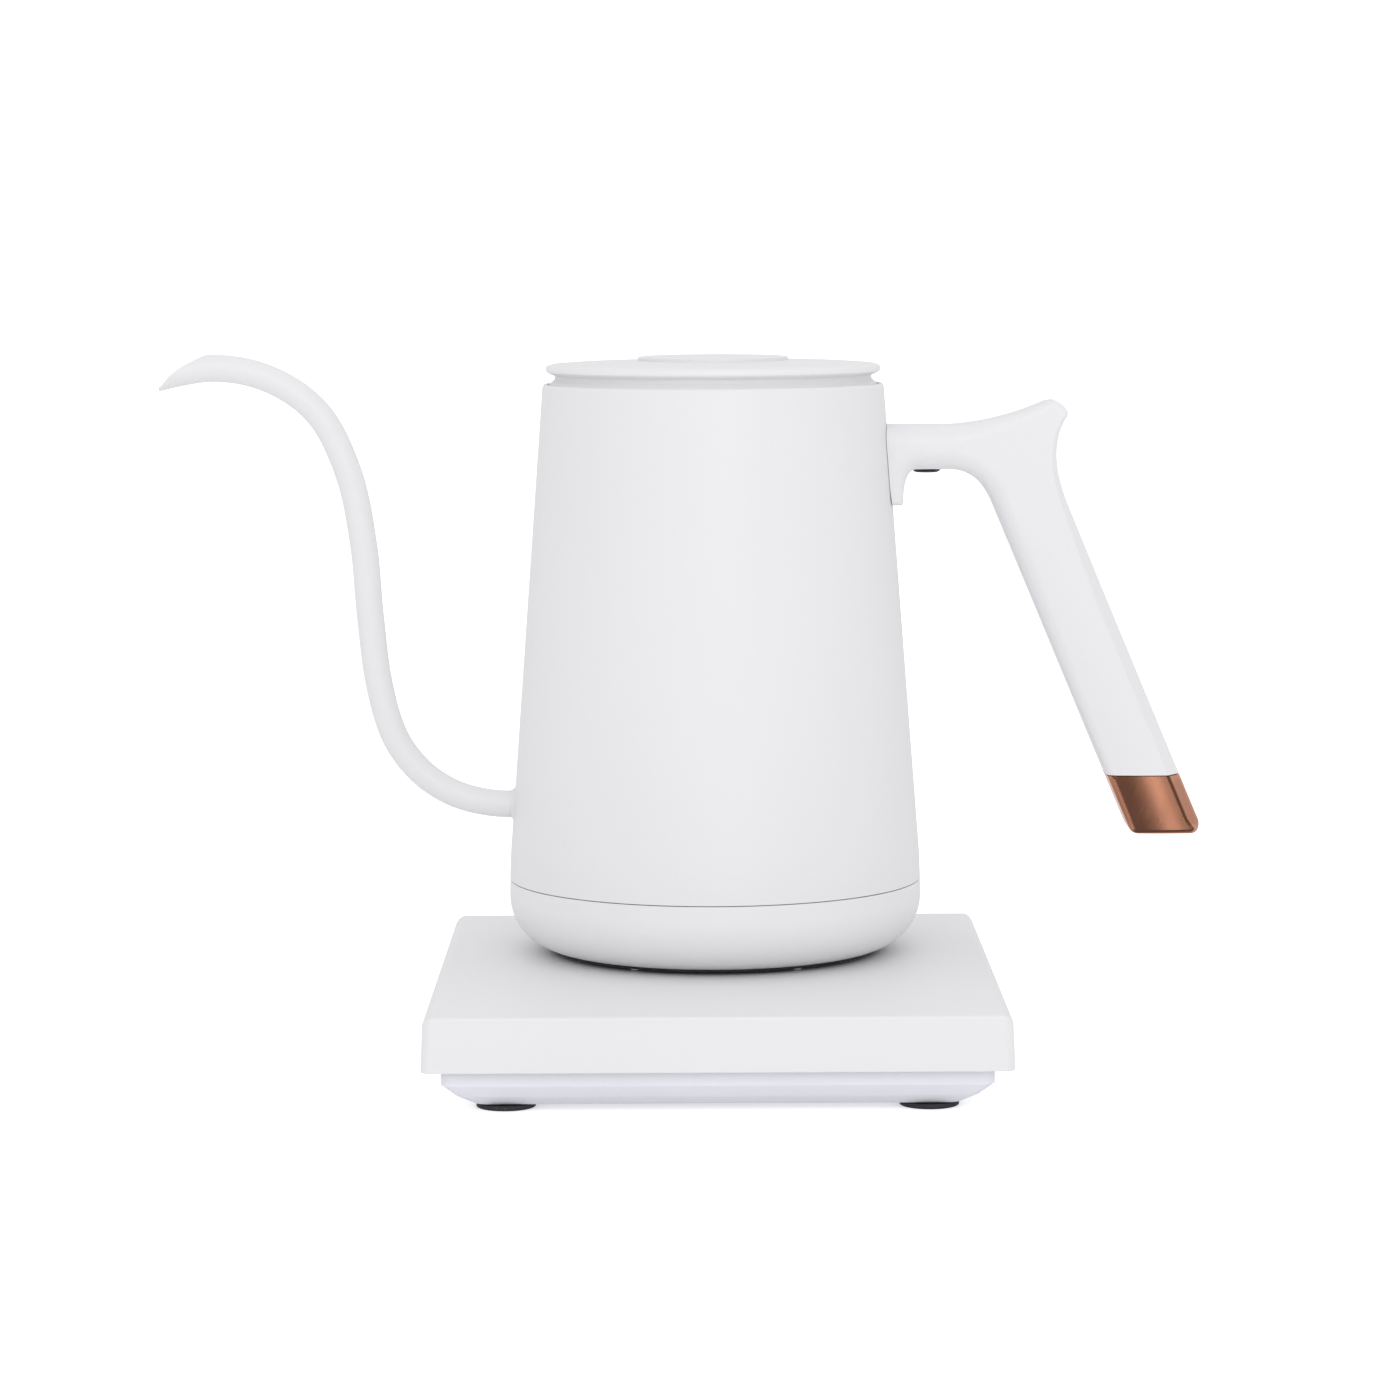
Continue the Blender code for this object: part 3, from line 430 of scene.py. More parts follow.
def bridge(bm, one, two):
    """Faces between two closed rings; either may be a single point."""
    count = max(len(one), len(two))
    for i in range(count):
        j = (i + 1) % count
        corners = [one[i % len(one)], one[j % len(one)], two[j % len(two)], two[i % len(two)]]
        bm.faces.new(dict.fromkeys(corners))


def turn(profile, sides=SIDES, closed=True, centre=(0.0, 0.0)):
    """Spins (radius, height) points into a closed solid, in kettle millimetres."""
    bm = bmesh.new()
    rings = []
    for radius, height in profile:
        steps = sides if radius > 0.001 else 1
        angles = [math.tau * i / steps for i in range(steps)]
        rings.append([bm.verts.new((centre[0] + radius * math.cos(a),
                                    centre[1] + radius * math.sin(a), height)) for a in angles])
    pairs = list(zip(rings, rings[1:]))
    if closed:
        pairs.append((rings[-1], rings[0]))
    for one, two in pairs:
        bridge(bm, one, two)
    bmesh.ops.recalc_face_normals(bm, faces=bm.faces)
    return bm


def loft(outlines):
    """Skins closed outlines of equal count and closes the first and the last."""
    bm = bmesh.new()
    rings = [[bm.verts.new(point) for point in outline] for outline in outlines]
    for one, two in zip(rings, rings[1:]):
        bridge(bm, one, two)
    bm.faces.new(rings[0])
    bm.faces.new(rings[-1])
    bmesh.ops.recalc_face_normals(bm, faces=bm.faces)
    return bm


def rod(radius, low, high, centre=(0.0, 0.0), sides=48, along=None):
    """A plain bar that serves only to cut holes."""
    bm = turn([(0, high), (radius, high), (radius, low), (0, low)], sides, False, centre)
    if along:
        bmesh.ops.transform(bm, matrix=along, verts=bm.verts)
    return bm


def block(low, high):
    """A plain block that serves only to cut pockets."""
    low, high = Vector(low), Vector(high)
    bm = bmesh.new()
    bmesh.ops.create_cube(bm, size=1.0)
    bmesh.ops.scale(bm, vec=high - low, verts=bm.verts)
    bmesh.ops.translate(bm, vec=(low + high) / 2, verts=bm.verts)
    return bm


print("the body has", BODY_SIDES, "sides, rings", SIDES, "and small pieces", SMALL_SIDES)

# %% [markdown]
# ## From a shape to a piece of the kettle
#
# A finished piece is a plain mesh at the world origin, with its place in its vertices.
# Holes are cut with booleans while the piece is still being made. Weighted normals
# then keep large flat faces flat beside their eased edges. Last, the piece is set on the
# body it rides on, and the engineering nodes it stands for are hidden.


# %% Settle, cut and claim
SHARP = 35.0


def settle(bm, name, material, sharp=SHARP):
    """Carries a shape from kettle millimetres to an object of the scene."""
    bmesh.ops.transform(bm, matrix=TO_WORLD, verts=bm.verts)
    mesh = bpy.data.meshes.new(name)
    bm.to_mesh(mesh)
    bm.free()
    mesh.shade_smooth()
    mesh.set_sharp_from_angle(angle=math.radians(sharp))
    mesh.materials.append(material)
    made = bpy.data.objects.new(name, mesh)
    bpy.context.scene.collection.objects.link(made)
    return made


def flatten(piece):
    """Applies what the modifiers do and leaves a plain mesh."""
    evaluated = piece.evaluated_get(bpy.context.evaluated_depsgraph_get())
    mesh = bpy.data.meshes.new_from_object(evaluated)
    piece.modifiers.clear()
    piece.data = mesh
    mesh.set_sharp_from_angle(angle=math.radians(SHARP))
    return piece


def carve(piece, tools, operation="DIFFERENCE"):
    """Cuts or joins shapes, given in kettle millimetres."""
    helpers = [settle(tool, "tool", piece.data.materials[0]) for tool in tools]
    for helper in helpers:
        step = piece.modifiers.new("carve", "BOOLEAN")
        step.operation = operation
        step.solver = "MANIFOLD"
        step.object = helper
    flatten(piece)
    for helper in helpers:
        bpy.data.objects.remove(helper, do_unlink=True)
    return piece


def soften(piece, width, angle):
    """Eases the edges that are sharper than an angle."""
    bevel = piece.modifiers.new("ease", "BEVEL")
    bevel.width = width * MM
    bevel.segments = 2
    bevel.limit_method = "ANGLE"
    bevel.angle_limit = math.radians(angle)
    return flatten(piece)


def claim(piece, body, slot, *nodes):
    """Sets a finished piece on its body and hides the nodes it stands for; the slot is not used."""
    level = piece.modifiers.new("flat faces", "WEIGHTED_NORMAL")
    level.keep_sharp = True
    level.weight = 80
    flatten(piece)
    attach(piece, body)
    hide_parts(*nodes)
    print(f"{piece.name}: {len(piece.data.polygons)} faces, rides {body}")
    return piece


def turned(name, material, slot, nodes, corners, cuts=(), body="kettle", sides=SIDES, closed=True,
           centre=(0.0, 0.0), sharp=SHARP, steps=4):
    """A piece turned from its eased corners, bored by its cuts, and claimed."""
    profile = eased(corners, steps, closed)
    piece = settle(turn(profile, sides, closed, centre), name, material, sharp)
    if cuts:
        carve(piece, cuts)
    return claim(piece, body, slot, *nodes.split())


print("settle, flatten, carve, soften, claim and turned are ready")

# %% [markdown]
# ## The kettle's body
#
# The body is one drawn steel shell: a straight cone that turns upright over its last
# centimetre, a tight shoulder at the rim, and a ledge that carries the lid. Paint covers
# the outside and the ledge; the inside is bare. A single shell with two materials would
# split the finish inside one piece, so the coat and the steel are two thin solids.

# %% Body coat and body lining
CONE_FOOT = (54.55, 31.0)
CONE_HEAD = (45.45, 151.4)
SEAM = 19.6
SPOUT_ROOT_Z = 39.4
SPOUT_HOLE = 3.95


def body_radius(height):
    """Outer radius of the straight cone."""
    share = (height - CONE_FOOT[1]) / (CONE_HEAD[1] - CONE_FOOT[1])
    return CONE_FOOT[0] + share * (CONE_HEAD[0] - CONE_FOOT[0])


def cone_rows(inset):
    """Corners from the shoulder down the cone, a set distance inside its face."""
    heights = [148.0 - 11.5 * i for i in range(11)]
    return [(body_radius(h) - inset, h, 0) for h in heights]


coat = [(44.10, 150.90, 0.25), (44.25, 152.12, 0.25), (45.05, 152.15, 0.40), (45.47, 151.2, 0.6)]
coat += cone_rows(0.0)
coat += [(54.60, 30.4, 0), (54.82, 27.6, 0), (54.99, 24.6, 0), (55.08, 22.0, 0),
         (55.15, SEAM + 0.2, 0.12), (54.72, SEAM + 0.2, 0), (54.60, 24.6, 0), (54.20, 30.4, 0)]
coat += list(reversed(cone_rows(0.43)))
coat += [(44.9, 150.6, 0), (43.5, 150.45, 0), (41.48, 150.45, 0), (41.48, 150.9, 0.2)]

lining = [(54.70, SEAM + 0.25, 0), (54.25, SEAM + 0.25, 0), (54.12, 24.6, 0), (53.74, 30.4, 0)]
lining += list(reversed(cone_rows(0.9)))
lining += [(44.3, 149.2, 0.5), (41.9, 149.2, 0.3), (41.9, 143.5, 0.15), (41.0, 143.5, 0.25),
           (41.0, 150.86, 0.4), (41.46, 150.86, 0), (41.46, 150.43, 0), (43.5, 150.43, 0),
           (44.86, 150.5, 0)]
lining += cone_rows(0.45)
lining += [(54.18, 30.4, 0), (54.58, 24.6, 0)]

ALONG_X = Matrix.Translation((0, 0, SPOUT_ROOT_Z)) @ Matrix.Rotation(math.radians(90), 4, "Y")
for name, material, slot, corners in (("kettle_body", body_paint, "white_paint", coat),
                                      ("kettle_lining", inner_steel, "bare_steel", lining)):
    turned(name, material, slot, "body_shell", corners,
           [rod(SPOUT_HOLE, -60.0, -40.0, along=ALONG_X)], sides=BODY_SIDES)

# %% [markdown]
# ## The spout's path
#
# A gooseneck is one tube that follows one curve, so it is swept by Geometry Nodes: a
# circle runs along the path while its radius goes from the root's to the tip's. The
# path leaves the body level, rises in an S and ends almost level again. Its knots are
# joined by a smooth spline, because arcs and straight runs would look like bent wire.

# %% Path of the spout
SPOUT_KNOTS = [
    (-50.0, 39.4), (-60.5, 39.9), (-70.5, 42.7), (-79.4, 48.9), (-86.1, 58.6),
    (-90.0, 73.0), (-92.0, 90.4), (-93.6, 109.6), (-97.2, 128.1), (-104.9, 144.1),
    (-117.6, 153.5), (-133.3, 156.7), (-152.4, 153.4),
]


def smooth_path(knots, per_span):
    """Catmull-Rom points through the knots."""
    knots = [Vector(k) for k in knots]
    ends = [2 * knots[0] - knots[1], *knots, 2 * knots[-1] - knots[-2]]
    points = []
    for a, b, c, d in zip(ends, ends[1:], ends[2:], ends[3:]):
        for i in range(per_span):
            t = i / per_span
            points.append(0.5 * (2 * b + (c - a) * t + (2 * a - 5 * b + 4 * c - d) * t * t
                                 + (3 * b - a - 3 * c + d) * t * t * t))
    points.append(knots[-1])
    return points


def path_curve(name, points):
    """A poly curve through points in kettle millimetres."""
    curve = bpy.data.curves.new(name, "CURVE")
    curve.dimensions = "3D"
    spline = curve.splines.new("POLY")
    spline.points.add(len(points) - 1)
    for knot, point in zip(spline.points, points):
        knot.co = (*(TO_WORLD @ Vector(point)), 1.0)
    made = bpy.data.objects.new(name, curve)
    bpy.context.scene.collection.objects.link(made)
    return made


spout_points = [(p.x, 0.0, p.y) for p in smooth_path(SPOUT_KNOTS, 16)]
spout_guide = path_curve("spout_guide", spout_points)
print("the spout's path has", len(spout_points), "points")


# %% A Geometry Nodes tree with named inputs
class Maker(Graph):
    """A Geometry Nodes tree; its named inputs are set on the modifier."""

    def __init__(self, name, inputs):
        super().__init__(bpy.data.node_groups.new(name, "GeometryNodeTree"))
        face = self.tree.interface
        face.new_socket("Geometry", in_out="INPUT", socket_type="NodeSocketGeometry")
        for label, kind in inputs.items():
            face.new_socket(label, in_out="INPUT", socket_type="NodeSocket" + kind)
        face.new_socket("Geometry", in_out="OUTPUT", socket_type="NodeSocketGeometry")
        self.entry = self.tree.nodes.new("NodeGroupInput")

    def given(self, label):
        return Wire(self, self.entry.outputs[label])

    def close(self, geometry):
        """Ends the tree with real geometry that carries its material."""
        real = self.node("GeometryNodeRealizeInstances", {}, {"Geometry": geometry})
        dressed = self.node("GeometryNodeSetMaterial", {}, {"Geometry": real,
                                                            "Material": self.given("Material")})
        self.feed(self.tree.nodes.new("NodeGroupOutput").inputs["Geometry"], dressed)

    def grow(self, name, source, values):
        """Runs the tree on an object's geometry and keeps the result as a plain mesh."""
        grower = source.modifiers.new(name, "NODES")
        grower.node_group = self.tree
        for item in self.tree.interface.items_tree:
            if item.in_out == "INPUT" and item.name in values:
                grower[item.identifier] = values[item.name]
        evaluated = source.evaluated_get(bpy.context.evaluated_depsgraph_get())
        mesh = bpy.data.meshes.new_from_object(evaluated)
        source.modifiers.clear()
        bpy.data.objects.remove(source, do_unlink=True)
        made = bpy.data.objects.new(name, mesh)
        bpy.context.scene.collection.objects.link(made)
        mesh.shade_smooth()
        return made


sweep = Maker("sweep a tube", {"Root Radius": "Float", "Tip Radius": "Float", "Sides": "Int",
                               "Material": "Material"})
root, tip = sweep.given("Root Radius"), sweep.given("Tip Radius")
radius = root + (tip - root) * sweep.node("GeometryNodeSplineParameter", out="Factor")
circle = sweep.node("GeometryNodeCurvePrimitiveCircle", {}, {"Resolution": sweep.given("Sides"),
                                                             "Radius": 1.0})
sweep.close(sweep.node("GeometryNodeCurveToMesh", {}, {"Curve": sweep.given("Geometry"),
                                                       "Profile Curve": circle, "Scale": radius}))
ROOT_RADIUS = 3.62
TIP_RADIUS = 3.64
spout = sweep.grow("spout", spout_guide, {"Root Radius": ROOT_RADIUS * MM, "Sides": 72,
                                          "Tip Radius": TIP_RADIUS * MM, "Material": spout_paint})
print("swept tube:", len(spout.data.polygons), "faces")

# %% [markdown]
# ## The beak
#
# The tip is ground off at a slope, so the stream leaves from a low lip and doesn't run
# back along the tube. A flat cut alone looks sawn; the grinder leaves it slightly
# crowned. So the skin is cut by a plane, its rim is moved along the tube by up to
# three millimetres, and then the wall gets its thickness and the lip its eased edge.

# %% Grind the beak and give the tube its wall
TIP = Vector((-146.8, 0.0, 151.2))
TIP_SLOPE = math.radians(37.5)
LIP_LENGTH = 15.0
CROWN = 2.95
CROWN_SKEW = 1.3

skin = bmesh.new()
skin.from_mesh(spout.data)
bmesh.ops.remove_doubles(skin, verts=skin.verts, dist=0.000002)
bmesh.ops.transform(skin, matrix=TO_WORLD.inverted(), verts=skin.verts)
cut_normal = Vector((-math.sin(TIP_SLOPE), 0.0, math.cos(TIP_SLOPE)))
bmesh.ops.bisect_plane(skin, geom=[*skin.verts, *skin.edges, *skin.faces], plane_co=TIP,
                       plane_no=cut_normal, clear_outer=True)
up_the_cut = Vector((math.cos(TIP_SLOPE), 0.0, math.sin(TIP_SLOPE)))
tube_end = Vector((-0.99, 0.0, -0.14))
for vert in skin.verts:
    on_cut = abs((vert.co - TIP).dot(cut_normal)) < 0.01 and vert.co.z > TIP.z - 1.0
    if on_cut:
        share = min(1.0, max(0.0, (vert.co - TIP).dot(up_the_cut) / LIP_LENGTH)) ** CROWN_SKEW
        vert.co += tube_end * CROWN * (1.0 - (2.0 * share - 1.0) ** 2)
bmesh.ops.recalc_face_normals(skin, faces=skin.faces)
middle = max(skin.faces, key=lambda f: f.calc_center_median().z)
if middle.normal.z < 0:
    bmesh.ops.reverse_faces(skin, faces=skin.faces)
bpy.data.objects.remove(spout, do_unlink=True)
spout = settle(skin, "spout", spout_paint)
WALL = 0.95
wall = spout.modifiers.new("wall", "SOLIDIFY")
wall.thickness = WALL * MM
wall.offset = -1
wall.use_even_offset = True
wall.use_rim = True
flatten(spout)
soften(spout, 0.18, 60.0)
claim(spout, "kettle", "white_paint", "spout_tube")

# %% [markdown]
# ## The weld at the spout's root
#
# The tube is brazed into the body and the joint is dressed to a small hollow fillet
# before painting. A boolean can't make a fillet, so its surface is written directly: for
# each direction about the tube, a quarter arc runs from the cone's face to the tube's.

# %% Root fillet
FILLET = 1.3
ROOT_RISE = 0.3


def on_body(across, height, out):
    """A point a distance outside the cone, on the spout's side."""
    radius = body_radius(height) + out
    return Vector((-math.sqrt(radius * radius - across * across), across, height))


fillet = bmesh.new()
rows = []
for k in range(9):
    swing = math.radians(90.0 * k / 8)
    rows.append((ROOT_RADIUS + FILLET * (1 - math.sin(swing)), FILLET * (1 - math.cos(swing))))
rows += [(ROOT_RADIUS - 0.25, FILLET), (ROOT_RADIUS - 0.25, -0.3), (ROOT_RADIUS + FILLET, -0.3)]
rings = []
for away, out in rows:
    ring = []
    for i in range(SMALL_SIDES):
        around = math.tau * i / SMALL_SIDES
        height = SPOUT_ROOT_Z + ROOT_RISE + away * math.sin(around)
        ring.append(fillet.verts.new(on_body(away * math.cos(around), height, out)))
    rings.append(ring)
for one, two in zip(rings, rings[1:] + rings[:1]):
    bridge(fillet, one, two)
bmesh.ops.recalc_face_normals(fillet, faces=fillet.faces)
claim(settle(fillet, "spout_root_fillet", body_paint), "kettle", "white_paint", "spout_tube")

# %% [markdown]
# ## Collar and nubs
#
# Under a hair-wide seam the collar closes the body's foot and curves in to a flat ring.
# Six round nubs on that ring keep the kettle a hair off any table. The nubs repeat, so
# one nub is turned and Geometry Nodes sets it on a ring of points; the same tree later
# places feet and screws.


# %% Repeat a template on points
def ring_points(count, radius, start):
    """Points on a circle; angles run from the back of the kettle."""
    angles = [math.radians(start) + math.tau * i / count for i in range(count)]
    return [(radius * math.sin(a), radius * math.cos(a), 0.0) for a in angles]


repeat = Maker("repeat on points", {"Template": "Object", "Size": "Float", "Turn Seed": "Int",
                                    "Turn Spread": "Float", "Material": "Material"})
template = repeat.node("GeometryNodeObjectInfo", {"transform_space": "ORIGINAL"},
                       {"Object": repeat.given("Template")}, "Geometry")
spun_by = repeat.node("FunctionNodeRandomValue", {"data_type": "FLOAT"},
                      {"Min": 0.0, "Max": repeat.given("Turn Spread"),
                       "Seed": repeat.given("Turn Seed")}, "Value")
turn_by = repeat.node("ShaderNodeCombineXYZ", {}, {"Z": spun_by})
copies = repeat.node("GeometryNodeInstanceOnPoints", {},
                     {"Points": repeat.given("Geometry"), "Instance": template,
                      "Rotation": turn_by, "Scale": repeat.given("Size")})
repeat.close(copies)


def repeated(name, template_bm, places, material, spread=0.0, seed=1):
    """One mesh that holds a copy of a template, drawn about the axis, at each place."""
    bmesh.ops.scale(template_bm, vec=(MM, MM, MM), verts=template_bm.verts)
    mesh = bpy.data.meshes.new(name + "_template")
    template_bm.to_mesh(mesh)
    template_bm.free()
    pattern = bpy.data.objects.new(name + "_template", mesh)
    spots = bpy.data.meshes.new(name + "_spots")
    spots.from_pydata([TO_WORLD @ Vector(p) for p in places], [], [])
    source = bpy.data.objects.new(name + "_spots", spots)
    for helper in (pattern, source):
        bpy.context.scene.collection.objects.link(helper)
    values = {"Template": pattern, "Size": 1.0, "Turn Seed": seed, "Turn Spread": spread,
              "Material": material}
    made = repeat.grow(name, source, values)
    bpy.data.objects.remove(pattern, do_unlink=True)
    made.data.set_sharp_from_angle(angle=math.radians(35.0))
    print(name, "repeated at", len(places), "places")
    return made


# %% Collar
COLLAR_ROUND = 14.0
COLLAR_ROUND_Z = 15.1
COLLAR_RADIUS = 55.2
NUB_RING = 42.3


def arc(centre_r, centre_z, radius, start, end, count):
    """Corners on an arc; 0 degrees points outward and positive angles go down."""
    points = []
    for i in range(count + 1):
        angle = math.radians(start + (end - start) * i / count)
        points.append((centre_r + radius * math.cos(angle), centre_z - radius * math.sin(angle), 0))
    return points


arc_r = COLLAR_RADIUS - COLLAR_ROUND
collar_corners = [(53.9, SEAM + 2.0, 0.2), (53.9, SEAM - 0.1, 0.1), (55.12, SEAM, 0.15)]
collar_corners += arc(arc_r, COLLAR_ROUND_Z, COLLAR_ROUND, 0, 77.0, 24)
flange_z = collar_corners[-1][1]
collar_corners += [(40.0, flange_z, 0.3), (40.0, flange_z + 1.5, 0.3)]
collar_corners += arc(arc_r, COLLAR_ROUND_Z, COLLAR_ROUND - 2.0, 82, 0, 16)
collar_corners += [(53.2, SEAM + 2.0, 0.2)]
turned("collar_shell", collar_plastic, "white_plastic", "collar", collar_corners,
       sides=BODY_SIDES, sharp=50.0)

nub = turn(eased([(0, flange_z + 0.6, 0), (1.2, flange_z + 0.6, 0), (1.2, 0.3, 0.4), (0, 0.3, 0)]),
           24, False)
nubs = repeated("collar_nubs", nub, ring_points(6, NUB_RING, 30.0), collar_plastic)
claim(nubs, "kettle", "white_plastic", "collar")

# %% [markdown]
# ## Bottom plate and kettle coupling
#
# The kettle stands on a black plate that holds the upper half of the coupling: a skirt,
# two brass rings and an earth pin. Three screws hold it. They are seen when the kettle
# is lifted, so they get the same care: turned rings, real holes, and cross recesses.

# %% Plate and connector
def screw_shape(head_r, head_low, head_high, shank_r, shank_top):
    """A pan head screw with its head down and a cross recess."""
    corners = [(0, shank_top, 0), (shank_r * 0.6, shank_top, 0), (shank_r, shank_top - 0.6, 0.1),
               (shank_r, head_high, 0), (head_r, head_high, 0.1), (head_r, head_low + 0.1, 0.5),
               (head_r * 0.7, head_low, 0.4), (0, head_low, 0)]
    piece = settle(turn(eased(corners), 32, False), "screw_blank", zinc)
    depth = head_low + (head_high - head_low) * 0.72
    arm = head_r * 0.55
    bars = [block((-arm, -0.32, head_low - 1), (arm, 0.32, depth)),
            block((-0.32, -arm, head_low - 1), (0.32, arm, depth))]
    carve(piece, bars)
    made = bmesh.new()
    made.from_mesh(piece.data)
    bmesh.ops.transform(made, matrix=TO_WORLD.inverted(), verts=made.verts)
    bpy.data.objects.remove(piece, do_unlink=True)
    return made


plate = [(22.9, 3.3, 0.2), (39.5, 3.3, 0.2), (39.5, 1.35, 0), (44.3, 1.35, 0.15), (44.3, 0.8, 0.2),
         (40.6, 0.8, 0.1), (40.2, 0.5, 0.1), (22.9, 0.5, 0.3)]
screw_spots = ring_points(3, 30.0, 0.0)
notches = [rod(1.45, -1.0, 3.0, spot[:2], 24) for spot in ring_points(6, NUB_RING, 30.0)]
sinks = [rod(2.9, -1.0, 2.1, spot[:2]) for spot in screw_spots]
holes = [rod(1.5, -1.0, 4.0, spot[:2]) for spot in screw_spots]
turned("underside_plate", black_plastic, "black_plastic", "bottom_plate", plate,
       notches + sinks + holes)

connector = [
    (1.9, 12.5, 0), (22.3, 12.5, 0.3), (22.3, 6.5, 0.3), (38.0, 6.5, 0.3), (38.0, 4.0, 0.3),
    (22.3, 4.0, 0.3), (22.3, 1.0, 0.4), (20.4, 1.0, 0.4), (20.4, 10.5, 0.4), (10.7, 10.5, 0.2),
    (10.7, 1.4, 0.25), (9.9, 1.4, 0.25), (9.9, 10.5, 0.2), (1.9, 10.5, 0.2),
]
turned("connector_housing_fine", black_plastic, "black_plastic", "connector_housing", connector,
       [rod(1.4, 3.0, 8.0, spot[:2]) for spot in screw_spots])
bottom_screws = repeated("bottom_screws", screw_shape(2.6, 0.6, 1.8, 1.1, 9.0), screw_spots, zinc,
                         math.tau, 4)
claim(bottom_screws, "kettle", "screw_steel", "bottom_screw_1", "bottom_screw_2", "bottom_screw_3")

for wire, inner, outer in (("live", 11.0, 11.6), ("neutral", 9.0, 9.6)):
    ring = [(inner, 10.1, 0.1), (outer, 10.1, 0.1), (outer, 3.0, 0.2), (inner, 3.0, 0.2)]
    turned(f"connector_ring_{wire}_fine", brass, "contact_brass", f"connector_ring_{wire}",
           ring, sides=96)
pin = [(0, 14.6, 0), (3.0, 14.6, 0.3), (3.0, 12.8, 0.2), (1.6, 12.8, 0), (1.6, -6.0, 0.3),
       (1.0, -7.0, 0.3), (0, -7.0, 0)]
turned("earth_pin", brass, "contact_brass", "connector_earth_pin", pin, sides=SMALL_SIDES,
       closed=False)

# %% [markdown]
# ## Heating plate, sensor and seal
#
# With the lid off one looks down on the heating plate: a pressed steel disc with spun
# rings, and the small dome of the temperature probe that stands in the water. A plain
# disc would do for the engineering model; the eye expects the shallow pressed step near
# the edge that stiffens it.

# %% Inside of the kettle
PROBE = (22.0, 0.0)
disc = [(0, 23.5, 0), (40.0, 23.5, 0.8), (41.0, 23.1, 0.8), (48.5, 23.1, 0.6), (49.3, 23.5, 0.6),
        (51.0, 23.5, 0.3), (51.0, 22.3, 0.2), (0, 22.3, 0)]
turned("heating_disc", plate_steel, "bare_steel", "heating_plate", disc,
       [rod(2.5, 20.0, 25.0, PROBE)], closed=False, sharp=50.0)
probe = [(0, 29.0, 0), (2.0, 29.0, 1.2), (2.0, 22.0, 0), (4.5, 22.0, 0.2), (4.5, 18.0, 0.2),
         (0, 18.0, 0)]
turned("temperature_probe", inner_steel, "bare_steel", "temperature_sensor", probe,
       sides=48, closed=False, centre=PROBE, steps=8)
seal = [(51.4, 24.5, 0.3), (53.5, 24.5, 0.3), (53.6, 21.95, 0.3), (51.4, 21.95, 0.3)]
turned("plate_seal_fine", silicone, "silicone", "plate_seal", seal)

# %% [markdown]
# ## Base: shell and tray
#
# The base is two mouldings. The upper shell is a flat rectangle with a crisp top edge in
# front and a narrow slanted band that runs down both sides and round the corners. Below
# it a lavender grey tray stands back by four millimetres, which makes the shell float,
# and slants in to the feet. Both are lofted from one outline at several heights; a
# beveled cube would not give the draft, the recess and the hollow inside in one solid.

# %% Shell and tray
BASE_HALF = 72.9
BASE_FRONT = 106.0
BASE_BACK = 59.6
BASE_CORNER = 3.0


SIDE_CUT = 2.1
FRONT_EASE = 0.7
CORNER_START = 17.0
CORNER_STEPS = 8
WALL_TOP = -1.9


def base_outline(side, ends, height, corner=BASE_CORNER, start=0.0):
    """The base's outline at a height; its sides and its ends grow by their own distances."""
    low, high = math.sin(math.radians(start)), math.cos(math.radians(start))
    right = BASE_HALF + side - corner
    back = BASE_BACK + ends - corner
    front = -(BASE_FRONT + ends - corner)
    centres = [(right, back), (-right, back), (-right, front), (right, front)]
    points = []
    for quarter, (x, y) in enumerate(centres):
        for k in range(CORNER_STEPS + 1):
            angle = math.radians(start + (90.0 - 2.0 * start) * k / CORNER_STEPS)
            out = corner * (math.cos(angle) - low) / (high - low)
            on = corner * (math.sin(angle) - low) / (high - low)
            out, on = [(out, on), (-on, out), (-out, -on), (on, -out)][quarter]
            points.append((x + out, y + on, height))
    return points


def ends_of(side, height):
    """How far front and back stand out where the sides stand out by a distance."""
    if height < WALL_TOP:
        return side if side < 0 else 0.6 * side
    if height > -0.0001:
        return side + SIDE_CUT - FRONT_EASE
    rise = max(0.0, height + FRONT_EASE)
    return math.sqrt(FRONT_EASE ** 2 - rise ** 2) - FRONT_EASE


def shell_ring(side, height):
    """One ring of the shell; its corners close up to a point at the top face."""
    inside = height < WALL_TOP and side < -1.5
    corner = 0.8 if inside else max(0.25, SIDE_CUT + min(side, 0.0))
    if side < -3.0:
        corner = BASE_CORNER
    return base_outline(side, ends_of(side, height), height, corner, CORNER_START)


shell_corners = [(-8.0, -2.2, 0), (-2.3, -2.2, 0.6), (-2.0, -13.8, 0.3), (0.5, -13.8, 0.25),
                 (0.0, -1.75, 0.4), (-0.85, -0.62, 1.2), (-SIDE_CUT, 0.0, 0.12), (-8.0, 0.0, 0)]
shell_profile = eased(shell_corners)
shell_points = []
for here, there in zip(shell_profile, shell_profile[1:]):
    pieces = 4 if here.y > -1.8 and there.y < -0.001 else 1
    shell_points += [here.lerp(there, i / pieces) for i in range(pieces)]
shell_points.append(shell_profile[-1])
base_shell = settle(loft([shell_ring(p.x, p.y) for p in shell_points]), "base_shell", shell_plastic)
gland_turn = Matrix.Translation((0, 0, -8.2)) @ Matrix.Rotation(math.radians(-90), 4, "X")
carve(base_shell, [rod(19.4, -4.0, 2.0, sides=SIDES),
                   rod(4.3, BASE_BACK - 6.0, BASE_BACK + 2.0, along=gland_turn)])
claim(base_shell, "base", "white_plastic", "base_top_shell")

